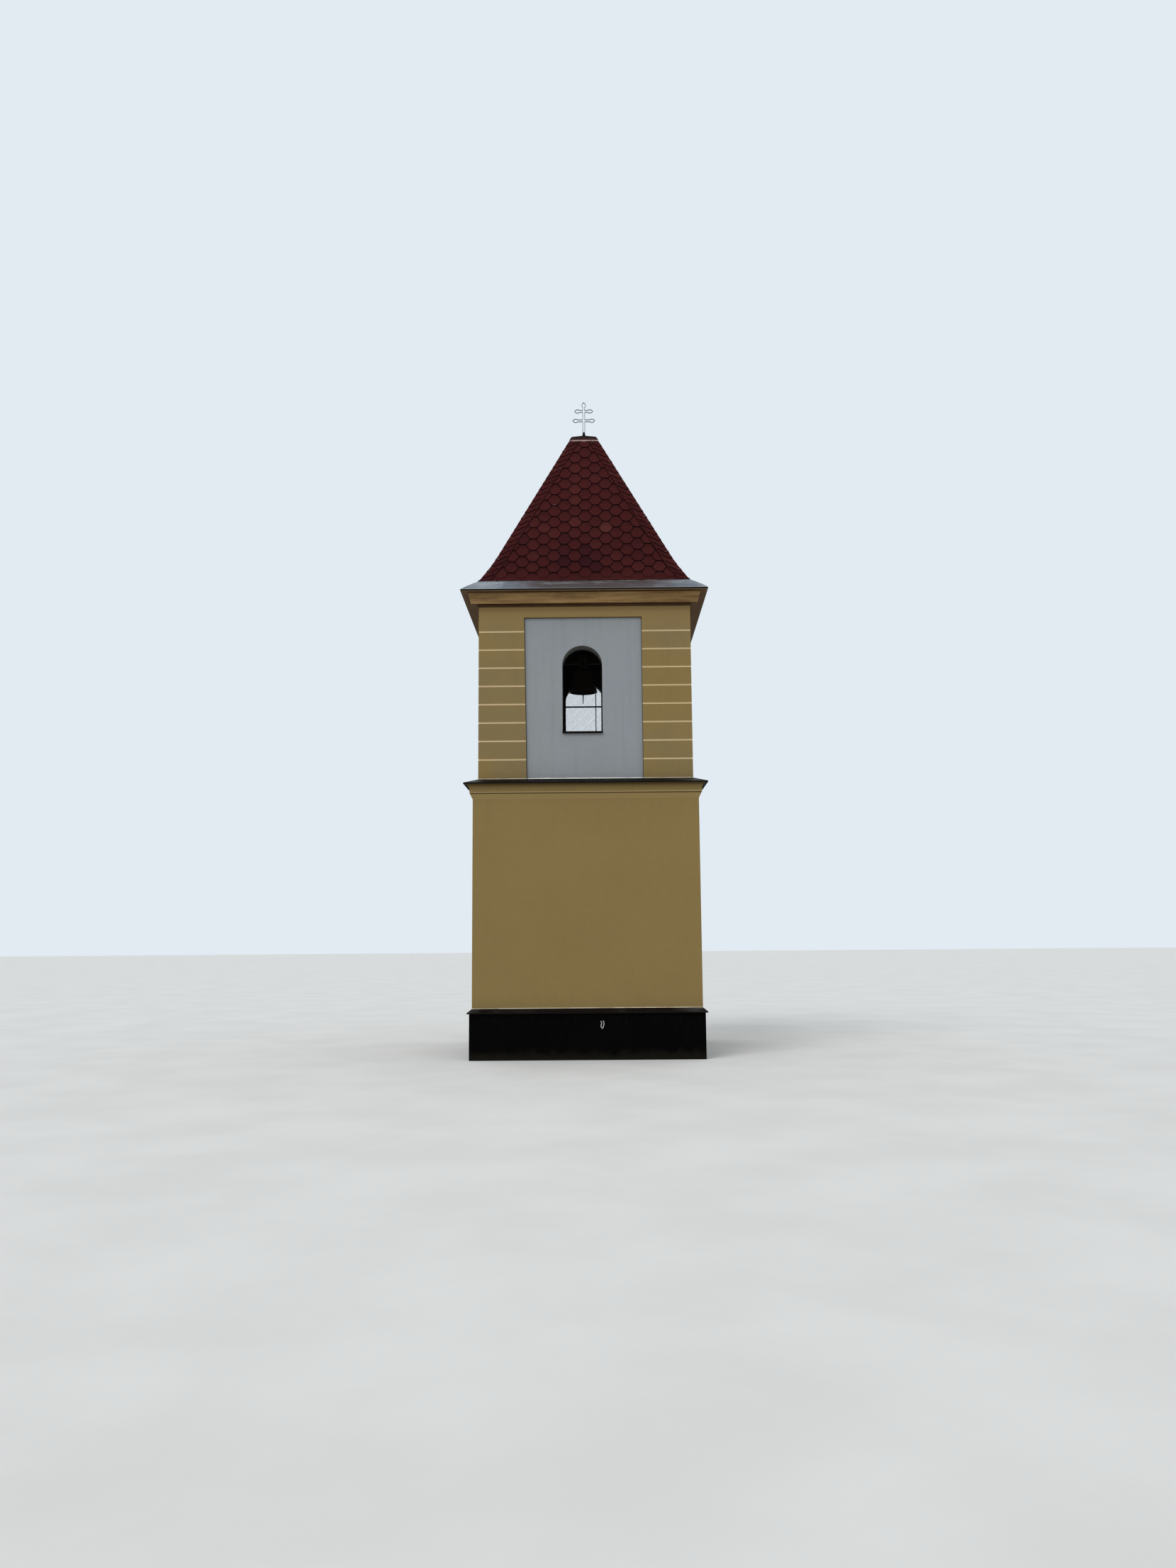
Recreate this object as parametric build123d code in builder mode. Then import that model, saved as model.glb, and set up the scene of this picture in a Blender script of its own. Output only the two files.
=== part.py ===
# Village bell tower: a square rendered-masonry tower in two storeys, with a steep
# shingled roof, an arched opening in each face and one swinging bell.
# Origin: centre of the tower's base on the ground. +Z is up and -Y is the front face.
# All lengths are in millimetres.
from build123d import *
from math import atan2, cos, degrees, pi, sin, sqrt
import os

# Masonry
ROOM_WIDTH = 2570  # clear inside width, the same in both storeys
PLINTH_THICKNESS = 472
PLINTH_HEIGHT = 750
PLINTH_SLOPE = 30  # fall of the plinth's weathered top
LOWER_THICKNESS = 435
LOWER_HEIGHT = 3235
UPPER_THICKNESS = 320
UPPER_HEIGHT = 2735
GROUND_SLAB = 100
ARRIS = 8  # rounding of the render at outer corners and round the openings

# String course between the storeys, from its chamfer up to its weathered top
BELT_HEIGHT = 220
BELT_CHAMFER_OUT = 45
BELT_CHAMFER_HEIGHT = 95
BELT_FASCIA = 40
BELT_COVE_OUT = 58
BELT_COVE_HEIGHT = 104
BELT_NOSE = 14
COVE_STEPS = 6

# Raised render of the upper storey: corner piers and frieze round a sunk panel
RENDER_PROUD = 40
PANEL_WIDTH = 1830
FRIEZE_HEIGHT = 195
PANEL_SHIFT = 26  # the front panel sits a little to the left
PANEL_LEAN = 36  # its left edge isn't plumb
GROOVE_COUNT = 8
GROOVE_PITCH = 287
GROOVE_FIRST = 305  # above the string course
GROOVE_HEIGHT = 22
GROOVE_DEPTH = 11

# Arched openings
WINDOW_WIDTH = 620
BACK_WINDOW_WIDTH = 720
WINDOW_SILL_RISE = 730  # above the string course
WINDOW_JAMB = 1055
FRONT_WINDOW_SHIFT = -40
BACK_WINDOW_SHIFT = 30

# Boxed timber cornice and eave
CORNICE_SEAT = 45  # bearing of the cornice on the wall head
CORNICE_SOFFIT = 110
CORNICE_LEAN = 42
CORNICE_FACE = 160
EAVE_OVERHANG = 107  # beyond the cornice's face
EAVE_RISE = 32
EAVE_EDGE = 26
FLASHING_RUN = 264
FLASHING_RISE = 201

# Roof, from the foot of its bell-cast kick to the top
KICK_RUN = 192
KICK_RISE = 315
ROOF_RISE = 2564
ROOF_TOP_HALF = 243
ROOF_THICKNESS = 42
APEX_STAND_OFF = 2  # of the apex cap's skirt from the roof panels
APEX_LAP = 8
APEX_SKIRT = 45
APEX_LEAN = 14
APEX_SHOULDER_RUN = 30
APEX_SHOULDER_RISE = 51
APEX_RISE = 95

# Roof timbers
PLATE_WIDTH = 200
PLATE_HEIGHT = 160
RAFTER_WIDTH = 90
RAFTER_DEPTH = 200
KING_POST = 150
KING_POST_LENGTH = 762
COLLAR_DEPTH = 90

# Sheet metal
SHEET = 3
DRIP = 16  # height of a turned-down edge
DRIP_GAP = 10
BELT_OVERHANG = 27
PLINTH_OVERHANG = 30
SILL_PROJECTION = 30
SILL_NOSE = 34
SILL_LIP = 8
SILL_FALL = 20

# Timber floor
JOIST_COUNT = 4
JOIST_WIDTH = 120
JOIST_DEPTH = 180
JOIST_BEARING = 160
FLOOR_THICKNESS = 40
FLOOR_GAP = 10
HATCH = 640

# Rear door
DOOR_WIDTH = 860
DOOR_HEIGHT = 1960
DOOR_FRAME = 65
DOOR_FRAME_DEPTH = 95
DOOR_SETBACK = 150
DOOR_LEAF = 45
DOOR_GAP = 4
THRESHOLD = 30

# Window screens, near the inner face of the walls
SCREEN_SETBACK = 285
SCREEN_FRAME = 20
SCREEN_DEPTH = 20
CROSSBAR = 24
CROSSBAR_BELOW_SPRING = 96
UPRIGHT = 16
UPRIGHT_OFFSET = 197

# Bell
BELL_SHIFT = -45  # the bell hangs in line with the front opening
BELL_RADIUS = 240
BELL_RIM_BELOW_SPRING = 100
BELL_HEIGHT = 385
BELL_WIRE = 3  # radius of the raised rings
CROWN_HEIGHT = 100
CROWN_LENGTH = 150
CROWN_LOOP = 24
YOKE_LENGTH = 640
YOKE_WIDTH = 130
YOKE_HEIGHT = 150
AXLE_ABOVE_CROWN = 95
AXLE_RADIUS = 16
RUNNING_FIT = 0.1
BEARING_WIDTH = 60
BEARING_LENGTH = 130
BEARING_RISE = 40  # axle centre above the beam
BEARING_CENTRE = 410
BEAM_WIDTH = 120
BEAM_DEPTH = 150
BEAM_BEARING = 150
CLAPPER_PIVOT_BELOW = 45
CLAPPER_BALL = 33
CLAPPER_BALL_ABOVE_RIM = 36
CLAPPER_TAIL_BELOW_RIM = 200
CLAPPER_ROD = 9
CLAPPER_TIP = 6
CLAPPER_PIN = 8
CLAPPER_EYE = 19
CLAPPER_EYE_WIDTH = 24
HANGER_CHEEK = 8
HANGER_GAP = 2
HANGER_PLATE = 10
STRAP_WIDTH = 40
STRAP_THICKNESS = 6
STRAP_SPACING = 90
GUDGEON_PLATE = 8
GUDGEON_MARGIN = 10

# Cross, above its socket
CROSS_SOCKET_HEIGHT = 70
CROSS_SOCKET_RADIUS = 30
CROSS_HEIGHT = 550
CROSS_LOWER_ARM = 216
CROSS_UPPER_ARM = 387
CROSS_LOWER_SPAN = 390
CROSS_UPPER_SPAN = 322
CROSS_WIDTH = 42
CROSS_STRIP = 8
CROSS_DEPTH = 16
BUD_LENGTH = 92
BUD_WIDTH = 68
BUD_TIP = 14

# Worked-out sizes
ROOM_HALF = ROOM_WIDTH / 2
PLINTH_HALF = ROOM_HALF + PLINTH_THICKNESS
LOWER_HALF = ROOM_HALF + LOWER_THICKNESS
PANEL_HALF = ROOM_HALF + UPPER_THICKNESS
UPPER_HALF = PANEL_HALF + RENDER_PROUD
LOWER_TOP = PLINTH_HEIGHT + LOWER_HEIGHT
BELT_TOP = LOWER_TOP + BELT_HEIGHT
UPPER_TOP = BELT_TOP + UPPER_HEIGHT
PANEL_TOP = UPPER_TOP - FRIEZE_HEIGHT
WINDOW_SILL = BELT_TOP + WINDOW_SILL_RISE
WINDOW_SPRING = WINDOW_SILL + WINDOW_JAMB
SOFFIT_EDGE = UPPER_HALF + CORNICE_SOFFIT
CORNICE_TOP = UPPER_TOP + CORNICE_FACE
EAVE_HALF = SOFFIT_EDGE + CORNICE_LEAN + EAVE_OVERHANG
EAVE_HEIGHT = CORNICE_TOP + EAVE_RISE
ROOF_FOOT_HALF = EAVE_HALF - FLASHING_RUN
ROOF_FOOT_HEIGHT = EAVE_HEIGHT + FLASHING_RISE
ROOF_KNEE_HALF = ROOF_FOOT_HALF - KICK_RUN
ROOF_KNEE_HEIGHT = ROOF_FOOT_HEIGHT + KICK_RISE
ROOF_TOP_HEIGHT = ROOF_KNEE_HEIGHT + ROOF_RISE
KING_POST_FOOT = ROOF_TOP_HEIGHT - KING_POST_LENGTH
BELL_RIM_HEIGHT = WINDOW_SPRING - BELL_RIM_BELOW_SPRING
CROWN_FOOT = BELL_RIM_HEIGHT + BELL_HEIGHT
YOKE_BOTTOM = CROWN_FOOT + CROWN_HEIGHT
AXLE_HEIGHT = YOKE_BOTTOM + AXLE_ABOVE_CROWN
BEAM_TOP = AXLE_HEIGHT - BEARING_RISE
SLACK = ARRIS  # how far a cutting shape runs past what it cuts

SIDES = {"front": 0, "right": 90, "back": 180, "left": 270}


def outward(side):
    """Unit vector that points out of the named face."""
    return Vector(0, -1, 0).rotate(Axis.Z, SIDES[side])


def facade(side, distance):
    """Drawing plane of a face, seen from outside: x to the right, y up."""
    out = outward(side)
    return Plane(origin=out * distance, x_dir=out.rotate(Axis.Z, 90), z_dir=out)


def section_plane(side):
    """Cross-section plane through a face's middle: x outward, y up."""
    out = outward(side)
    return Plane(origin=(0, 0, 0), x_dir=out, z_dir=out.cross(Vector(0, 0, 1)))


def outer_corner(side):
    """Sorting value that puts the edges at a wall's two outer corners last."""
    out = outward(side)
    return lambda edge: edge.center().dot(out) + abs(edge.center().dot(out.rotate(Axis.Z, 90)))


def mitre_ends(side):
    """Cut the current part to one side of a square frame, mitred on the diagonals."""
    out = outward(side)
    for along in (out.rotate(Axis.Z, 90), out.rotate(Axis.Z, -90)):
        split(bisect_by=Plane(origin=(0, 0, 0), z_dir=along - out), keep=Keep.BOTTOM)


def mitred_side(side, outline):
    """One side of a square frame, from its cross-section: distance out, then height."""
    reach = max(out for out, height in outline) + SLACK
    with BuildPart() as frame_side:
        with BuildSketch(section_plane(side)):
            with BuildLine():
                Polyline(*outline, close=True)
            make_face()
        extrude(amount=reach, both=True)
        mitre_ends(side)
    return frame_side.part


def mitred_ring(outline):
    """A whole square frame with one cross-section, in one piece."""
    with BuildPart() as ring:
        for side in SIDES:
            add(mitred_side(side, outline))
    return ring.part


def sheet_outline(points, thickness):
    """Closed outline of a bent sheet that lies on the given line of points."""
    normals = []
    for (x0, y0), (x1, y1) in zip(points, points[1:]):
        length = sqrt((x1 - x0) ** 2 + (y1 - y0) ** 2)
        normals.append(((y1 - y0) / length, (x0 - x1) / length))
    outer = []
    for index, (x, y) in enumerate(points):
        before = normals[max(index - 1, 0)]
        after = normals[min(index, len(normals) - 1)]
        share = thickness / (1 + before[0] * after[0] + before[1] * after[1])
        outer.append((x - (before[0] + after[0]) * share, y - (before[1] + after[1]) * share))
    return points + outer[::-1]


def arched_opening(width, sill, spring, shift=0.0):
    """Round-headed face, to be cut through a wall."""
    with BuildSketch() as opening:
        with BuildLine():
            Polyline(
                (shift - width / 2, spring),
                (shift - width / 2, sill),
                (shift + width / 2, sill),
                (shift + width / 2, spring),
            )
            ThreePointArc(
                (shift + width / 2, spring),
                (shift, spring + width / 2),
                (shift - width / 2, spring),
            )
        make_face()
    return opening.sketch


def write(part, name):
    """Label a finished piece and write its file."""
    part.label = name
    export_step(part, f"parts/{name}.step")


os.makedirs("parts", exist_ok=True)

WINDOWS = {
    "front": (WINDOW_WIDTH, FRONT_WINDOW_SHIFT),
    "right": (WINDOW_WIDTH, 0),
    "back": (BACK_WINDOW_WIDTH, BACK_WINDOW_SHIFT),
    "left": (WINDOW_WIDTH, 0),
}

# Plinth: base courses with a weathered top, the front and back over the full width
DOOR_SILL = GROUND_SLAB
DOOR_HEAD = DOOR_SILL + DOOR_HEIGHT
for side in SIDES:
    end_half = PLINTH_HALF if side in ("front", "back") else ROOM_HALF
    with BuildPart() as plinth:
        with BuildSketch(section_plane(side)):
            with BuildLine():
                Polyline(
                    (ROOM_HALF, 0),
                    (PLINTH_HALF, 0),
                    (PLINTH_HALF, PLINTH_HEIGHT - PLINTH_SLOPE),
                    (LOWER_HALF, PLINTH_HEIGHT),
                    (ROOM_HALF, PLINTH_HEIGHT),
                    close=True,
                )
            make_face()
        extrude(amount=end_half, both=True)
        if side in ("front", "back"):
            # The weathered top returns round both corners.
            with BuildSketch(facade(side, PLINTH_HALF)):
                with BuildLine():
                    Polyline(
                        (LOWER_HALF, PLINTH_HEIGHT),
                        (PLINTH_HALF, PLINTH_HEIGHT - PLINTH_SLOPE),
                        (PLINTH_HALF, PLINTH_HEIGHT),
                        close=True,
                    )
                make_face()
                mirror(about=Plane.YZ)
            extrude(amount=-PLINTH_THICKNESS, mode=Mode.SUBTRACT)
            fillet(plinth.edges().filter_by(Axis.Z).sort_by(outer_corner(side))[-2:], ARRIS)
        if side == "back":
            with BuildSketch(facade(side, PLINTH_HALF)):
                with Locations((0, DOOR_SILL)):
                    Rectangle(DOOR_WIDTH, PLINTH_HEIGHT, align=(Align.CENTER, Align.MIN))
            extrude(amount=-PLINTH_THICKNESS, mode=Mode.SUBTRACT)
    write(plinth.part, f"plinth_{side}")

# Ground slab between the plinth walls
with BuildPart() as ground_slab:
    Box(ROOM_WIDTH, ROOM_WIDTH, GROUND_SLAB, align=(Align.CENTER, Align.CENTER, Align.MIN))
write(ground_slab.part, "ground_slab")

# Lower walls, notched at the head for the floor joists
JOIST_STEP = ROOM_WIDTH / JOIST_COUNT
joist_places = [(index - (JOIST_COUNT - 1) / 2) * JOIST_STEP for index in range(JOIST_COUNT)]
for side in SIDES:
    end_half = LOWER_HALF if side in ("front", "back") else ROOM_HALF
    with BuildPart() as lower_wall:
        with BuildSketch(facade(side, LOWER_HALF)):
            with Locations((0, PLINTH_HEIGHT)):
                Rectangle(2 * end_half, LOWER_TOP - PLINTH_HEIGHT, align=(Align.CENTER, Align.MIN))
            if side == "back":
                with Locations((0, DOOR_SILL)):
                    Rectangle(
                        DOOR_WIDTH,
                        DOOR_HEIGHT,
                        align=(Align.CENTER, Align.MIN),
                        mode=Mode.SUBTRACT,
                    )
        extrude(amount=-LOWER_THICKNESS)
        if side in ("front", "back"):
            fillet(lower_wall.edges().filter_by(Axis.Z).sort_by(outer_corner(side))[-2:], ARRIS)
        else:
            with BuildSketch(facade(side, ROOM_HALF + JOIST_BEARING)):
                with Locations(*[(place, LOWER_TOP) for place in joist_places]):
                    Rectangle(JOIST_WIDTH, JOIST_DEPTH, align=(Align.CENTER, Align.MAX))
            extrude(amount=-JOIST_BEARING, mode=Mode.SUBTRACT)
    write(lower_wall.part, f"lower_wall_{side}")

# String course: chamfer, fascia, cove and nose, under a weathered top
fascia_out = LOWER_HALF + BELT_CHAMFER_OUT
nose_out = fascia_out + BELT_COVE_OUT
nose_foot = LOWER_TOP + BELT_FASCIA + BELT_COVE_HEIGHT
belt_outline = [
    (ROOM_HALF, LOWER_TOP),
    (LOWER_HALF, LOWER_TOP),
    (LOWER_HALF, LOWER_TOP - BELT_CHAMFER_HEIGHT),
    (fascia_out, LOWER_TOP),
]
for step in range(COVE_STEPS + 1):
    turn = pi / 2 * step / COVE_STEPS
    belt_outline.append(
        (nose_out - BELT_COVE_OUT * cos(turn), nose_foot - BELT_COVE_HEIGHT * (1 - sin(turn)))
    )
belt_outline += [(nose_out, nose_foot + BELT_NOSE), (UPPER_HALF, BELT_TOP), (ROOM_HALF, BELT_TOP)]
write(mitred_ring(belt_outline), "string_course")

bearing_places = (BELL_SHIFT - BEARING_CENTRE, BELL_SHIFT + BEARING_CENTRE)

# Upper walls: plain slabs with an arched opening and pockets for the bell beams
for side in SIDES:
    end_half = PANEL_HALF if side in ("front", "back") else ROOM_HALF
    width, shift = WINDOWS[side]
    with BuildPart() as upper_wall:
        with BuildSketch(facade(side, PANEL_HALF)):
            with Locations((0, BELT_TOP)):
                Rectangle(2 * end_half, UPPER_TOP - BELT_TOP, align=(Align.CENTER, Align.MIN))
        extrude(amount=-UPPER_THICKNESS)
        with BuildSketch(facade(side, PANEL_HALF)):
            add(arched_opening(width, WINDOW_SILL, WINDOW_SPRING, shift))
        extrude(amount=-UPPER_THICKNESS, mode=Mode.SUBTRACT)
        face = upper_wall.faces().sort_by(Axis((0, 0, 0), outward(side)))[-1]
        fillet(face.inner_wires()[0].edges().filter_by_position(Axis.Z, WINDOW_SPRING, UPPER_TOP), ARRIS)
        if side in ("front", "back"):
            with BuildSketch(facade(side, ROOM_HALF + BEAM_BEARING)):
                hand = -1 if side == "back" else 1
                with Locations(*[(hand * place, BEAM_TOP) for place in bearing_places]):
                    Rectangle(BEAM_WIDTH, BEAM_DEPTH, align=(Align.CENTER, Align.MAX))
            extrude(amount=-BEAM_BEARING, mode=Mode.SUBTRACT)
    write(upper_wall.part, f"upper_wall_{side}")

# Raised render: four grooved corner piers and the frieze, one coat round the tower
render_outline = [(PANEL_HALF, BELT_TOP), (UPPER_HALF, BELT_TOP)]
for index in range(GROOVE_COUNT):
    middle = BELT_TOP + GROOVE_FIRST + index * GROOVE_PITCH
    render_outline += [
        (UPPER_HALF, middle - GROOVE_HEIGHT / 2),
        (UPPER_HALF - GROOVE_DEPTH, middle),
        (UPPER_HALF, middle + GROOVE_HEIGHT / 2),
    ]
render_outline += [(UPPER_HALF, UPPER_TOP), (PANEL_HALF, UPPER_TOP)]
with BuildPart() as raised_render:
    add(mitred_ring(render_outline))
    for side in SIDES:
        panel_shift = -PANEL_SHIFT if side == "front" else 0
        panel_lean = PANEL_LEAN if side == "front" else 0
        with BuildSketch(facade(side, UPPER_HALF)):
            with BuildLine():
                Polyline(
                    (panel_shift - PANEL_WIDTH / 2 + panel_lean, BELT_TOP),
                    (panel_shift + PANEL_WIDTH / 2, BELT_TOP),
                    (panel_shift + PANEL_WIDTH / 2, PANEL_TOP),
                    (panel_shift - PANEL_WIDTH / 2, PANEL_TOP),
                    close=True,
                )
            make_face()
        extrude(amount=-RENDER_PROUD, mode=Mode.SUBTRACT)
write(raised_render.part, "raised_render")

# Sheet-metal weatherings: plinth cap, string course cap and eave flashing
plinth_fall = PLINTH_SLOPE / (PLINTH_HALF - LOWER_HALF)
plinth_edge = (
    PLINTH_HALF + PLINTH_OVERHANG,
    PLINTH_HEIGHT - PLINTH_SLOPE - plinth_fall * PLINTH_OVERHANG,
)
plinth_cap_line = [(LOWER_HALF, PLINTH_HEIGHT), plinth_edge, (plinth_edge[0], plinth_edge[1] - DRIP)]
with BuildPart() as plinth_cap:
    add(mitred_ring(sheet_outline(plinth_cap_line, SHEET)))
    with BuildSketch(facade("back", PLINTH_HALF + PLINTH_OVERHANG + DRIP_GAP)):
        with Locations((0, PLINTH_HEIGHT)):
            Rectangle(DOOR_WIDTH, PLINTH_HEIGHT)
    extrude(amount=-PLINTH_THICKNESS, mode=Mode.SUBTRACT)
write(plinth_cap.part, "plinth_cap")

belt_fall = (BELT_TOP - nose_foot - BELT_NOSE) / (nose_out - UPPER_HALF)
belt_cap_edge = (nose_out + BELT_OVERHANG, nose_foot + BELT_NOSE - belt_fall * BELT_OVERHANG)
belt_cap_line = [(UPPER_HALF, BELT_TOP), belt_cap_edge, (belt_cap_edge[0], belt_cap_edge[1] - DRIP)]
write(mitred_ring(sheet_outline(belt_cap_line, SHEET)), "string_course_cap")

# Boxed cornice under the eave: soffit, canted face and eave edge
cornice_outline = [
    (PANEL_HALF - CORNICE_SEAT, UPPER_TOP),
    (SOFFIT_EDGE, UPPER_TOP),
    (SOFFIT_EDGE + CORNICE_LEAN, CORNICE_TOP),
    (EAVE_HALF - DRIP_GAP, CORNICE_TOP),
    (EAVE_HALF, EAVE_HEIGHT - EAVE_EDGE / 2),
    (EAVE_HALF, EAVE_HEIGHT),
    (ROOF_FOOT_HALF, ROOF_FOOT_HEIGHT),
    (ROOF_FOOT_HALF - ROOF_THICKNESS, ROOF_FOOT_HEIGHT),
]
for side in SIDES:
    write(mitred_side(side, cornice_outline), f"cornice_{side}")

eave_line = [
    (ROOF_FOOT_HALF, ROOF_FOOT_HEIGHT),
    (EAVE_HALF, EAVE_HEIGHT),
    (EAVE_HALF, EAVE_HEIGHT - EAVE_EDGE),
]
write(mitred_ring(sheet_outline(eave_line, SHEET)), "eave_flashing")

# Roof covering: one panel a side, with the bell-cast kick above the eave
main_run = ROOF_KNEE_HALF - ROOF_TOP_HALF
main_rise = ROOF_TOP_HEIGHT - ROOF_KNEE_HEIGHT
run_per_rise = main_run / main_rise
roof_pitch = atan2(main_rise, main_run)
inset = ROOF_THICKNESS / sin(roof_pitch)  # panel thickness, measured level
roof_outline = [
    (ROOF_FOOT_HALF - ROOF_THICKNESS, ROOF_FOOT_HEIGHT + SHEET),
    (ROOF_FOOT_HALF, ROOF_FOOT_HEIGHT + SHEET),
    (ROOF_KNEE_HALF, ROOF_KNEE_HEIGHT),
    (ROOF_TOP_HALF, ROOF_TOP_HEIGHT),
    (ROOF_TOP_HALF - inset, ROOF_TOP_HEIGHT),
    (ROOF_KNEE_HALF - inset, ROOF_KNEE_HEIGHT),
]
for side in SIDES:
    write(mitred_side(side, roof_outline), f"roof_panel_{side}")
print("pitch of the roof", round(degrees(roof_pitch), 1))


def underside(height, depth=0.0):
    """Half-width of the space under the roof panels, or under timbers of some depth."""
    return ROOF_KNEE_HALF - inset - depth + (ROOF_KNEE_HEIGHT - height) * run_per_rise


# Wall plates, a square frame on the wall heads behind the cornice
plate_outer = PANEL_HALF - CORNICE_SEAT
plate_top = UPPER_TOP + PLATE_HEIGHT
plate_outline = [
    (plate_outer - PLATE_WIDTH, UPPER_TOP),
    (plate_outer, UPPER_TOP),
    (plate_outer, plate_top),
    (plate_outer - PLATE_WIDTH, plate_top),
]
write(mitred_ring(plate_outline), "wall_plate")

# Hip rafters on the diagonals, backed to the slopes, from the wall plate to the king post
hip_pitch = atan2(main_rise, main_run * sqrt(2))
rafter_depth_level = RAFTER_DEPTH / sin(hip_pitch) / sqrt(2)
post_face = KING_POST / 2
head_drop = (post_face / sqrt(2) - underside(ROOF_TOP_HEIGHT, rafter_depth_level)) / run_per_rise
with BuildPart() as roof_space:
    for height in (plate_top, ROOF_TOP_HEIGHT):
        with BuildSketch(Plane.XY.offset(height)):
            Rectangle(2 * underside(height), 2 * underside(height))
    loft()
with BuildPart() as hip_rafters:
    for turn in (45, 135, 225, 315):
        along = Vector(1, 0, 0).rotate(Axis.Z, turn)
        diagonal = Plane(origin=(0, 0, 0), x_dir=along, z_dir=along.cross(Vector(0, 0, 1)))
        with BuildSketch(diagonal):
            with BuildLine():
                Polyline(
                    (sqrt(2) * underside(plate_top, rafter_depth_level), plate_top),
                    (sqrt(2) * PANEL_HALF, plate_top),
                    (sqrt(2) * PANEL_HALF, ROOF_TOP_HEIGHT),
                    (post_face, ROOF_TOP_HEIGHT),
                    (post_face, ROOF_TOP_HEIGHT - head_drop),
                    close=True,
                )
            make_face()
        extrude(amount=RAFTER_WIDTH / 2, both=True)
    add(roof_space.part, mode=Mode.INTERSECT)
    with BuildSketch(Plane.XY.offset(plate_top)):
        Rectangle(2 * plate_outer, 2 * plate_outer)
    extrude(amount=ROOF_TOP_HEIGHT - plate_top, mode=Mode.INTERSECT)
write(hip_rafters.part, "hip_rafters")

# Crossed collar between the hip rafters, and the king post that stands on it
collar_foot = KING_POST_FOOT - COLLAR_DEPTH
top_reach = sqrt(2) * underside(KING_POST_FOOT, rafter_depth_level)
foot_reach = sqrt(2) * underside(collar_foot, rafter_depth_level)
with BuildPart() as collar_beams:
    for turn in (45, 135):
        along = Vector(1, 0, 0).rotate(Axis.Z, turn)
        diagonal = Plane(origin=(0, 0, 0), x_dir=along, z_dir=along.cross(Vector(0, 0, 1)))
        with BuildSketch(diagonal):
            with BuildLine():
                Polyline(
                    (-foot_reach, collar_foot),
                    (foot_reach, collar_foot),
                    (top_reach, KING_POST_FOOT),
                    (-top_reach, KING_POST_FOOT),
                    close=True,
                )
            make_face()
        extrude(amount=RAFTER_WIDTH / 2, both=True)
write(collar_beams.part, "collar_beams")

with BuildPart() as king_post:
    with BuildSketch(Plane.XY.offset(KING_POST_FOOT)):
        Rectangle(KING_POST, KING_POST, rotation=45)
    extrude(amount=ROOF_TOP_HEIGHT - KING_POST_FOOT)
write(king_post.part, "king_post")

# Apex cap of sheet metal, and the solid cone socket that holds the cross
skirt_half = ROOF_TOP_HALF + APEX_LAP * run_per_rise + APEX_STAND_OFF
skirt_top_height = ROOF_TOP_HEIGHT - APEX_LAP + APEX_SKIRT
shoulder_half = skirt_half - APEX_LEAN - APEX_SHOULDER_RUN
shoulder_height = skirt_top_height + APEX_SHOULDER_RISE
apex_top_height = shoulder_height + APEX_RISE
apex_line = [
    (CROSS_SOCKET_RADIUS, apex_top_height),
    (shoulder_half, shoulder_height),
    (skirt_half - APEX_LEAN, skirt_top_height),
    (skirt_half, ROOF_TOP_HEIGHT - APEX_LAP),
]
write(mitred_ring(sheet_outline(apex_line, SHEET)), "apex_cap")

socket_top = apex_top_height + CROSS_SOCKET_HEIGHT
shank = CROSS_SOCKET_RADIUS - SHEET
with BuildPart() as cross_socket:
    with BuildSketch(Plane.XZ):
        with BuildLine():
            Polyline(
                (0, ROOF_TOP_HEIGHT),
                (shank, ROOF_TOP_HEIGHT),
                (shank, apex_top_height + SHEET),
                (CROSS_SOCKET_RADIUS + SHEET, apex_top_height + SHEET),
                (CROSS_DEPTH, socket_top),
                (0, socket_top),
                close=True,
            )
        make_face()
    revolve(axis=Axis.Z)
write(cross_socket.part, "cross_socket")


def bud(tip_x, tip_y, turn):
    """Pear-shaped bud at the end of an arm, pointing along a direction in degrees."""
    along = Vector(1, 0).rotate(Axis.Z, turn)
    aside = Vector(0, 1).rotate(Axis.Z, turn)
    tip = Vector(tip_x, tip_y)
    neck = tip - along * BUD_LENGTH
    belly = tip - along * BUD_LENGTH / 2
    flank = tip - along * BUD_TIP / 2
    with BuildSketch() as shape:
        with BuildLine():
            for hand in (1, -1):
                ThreePointArc(
                    neck + aside * hand * CROSS_WIDTH / 2,
                    belly + aside * hand * BUD_WIDTH / 2,
                    flank + aside * hand * BUD_TIP / 2,
                )
            Line(neck + aside * CROSS_WIDTH / 2, neck - aside * CROSS_WIDTH / 2)
            ThreePointArc(flank + aside * BUD_TIP / 2, tip, flank - aside * BUD_TIP / 2)
        make_face()
    return shape.sketch


# Double-barred cross: the outline of a budded cross, bent from flat bar
cross_top = socket_top + CROSS_HEIGHT
with BuildPart() as cross:
    with BuildSketch(Plane.XZ) as bar:
        with Locations((0, socket_top)):
            Rectangle(CROSS_WIDTH, CROSS_HEIGHT - BUD_LENGTH, align=(Align.CENTER, Align.MIN))
        add(bud(0, cross_top, 90))
        for rise, span in ((CROSS_LOWER_ARM, CROSS_LOWER_SPAN), (CROSS_UPPER_ARM, CROSS_UPPER_SPAN)):
            with Locations((0, socket_top + rise)):
                Rectangle(span - 2 * BUD_LENGTH, CROSS_WIDTH)
            add(bud(span / 2, socket_top + rise, 0))
            add(bud(-span / 2, socket_top + rise, 180))
        inside = offset(bar.sketch_local, amount=-CROSS_STRIP, mode=Mode.PRIVATE)
        add(inside, mode=Mode.SUBTRACT)
    extrude(amount=CROSS_DEPTH / 2, both=True)
write(cross.part, "cross")

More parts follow.
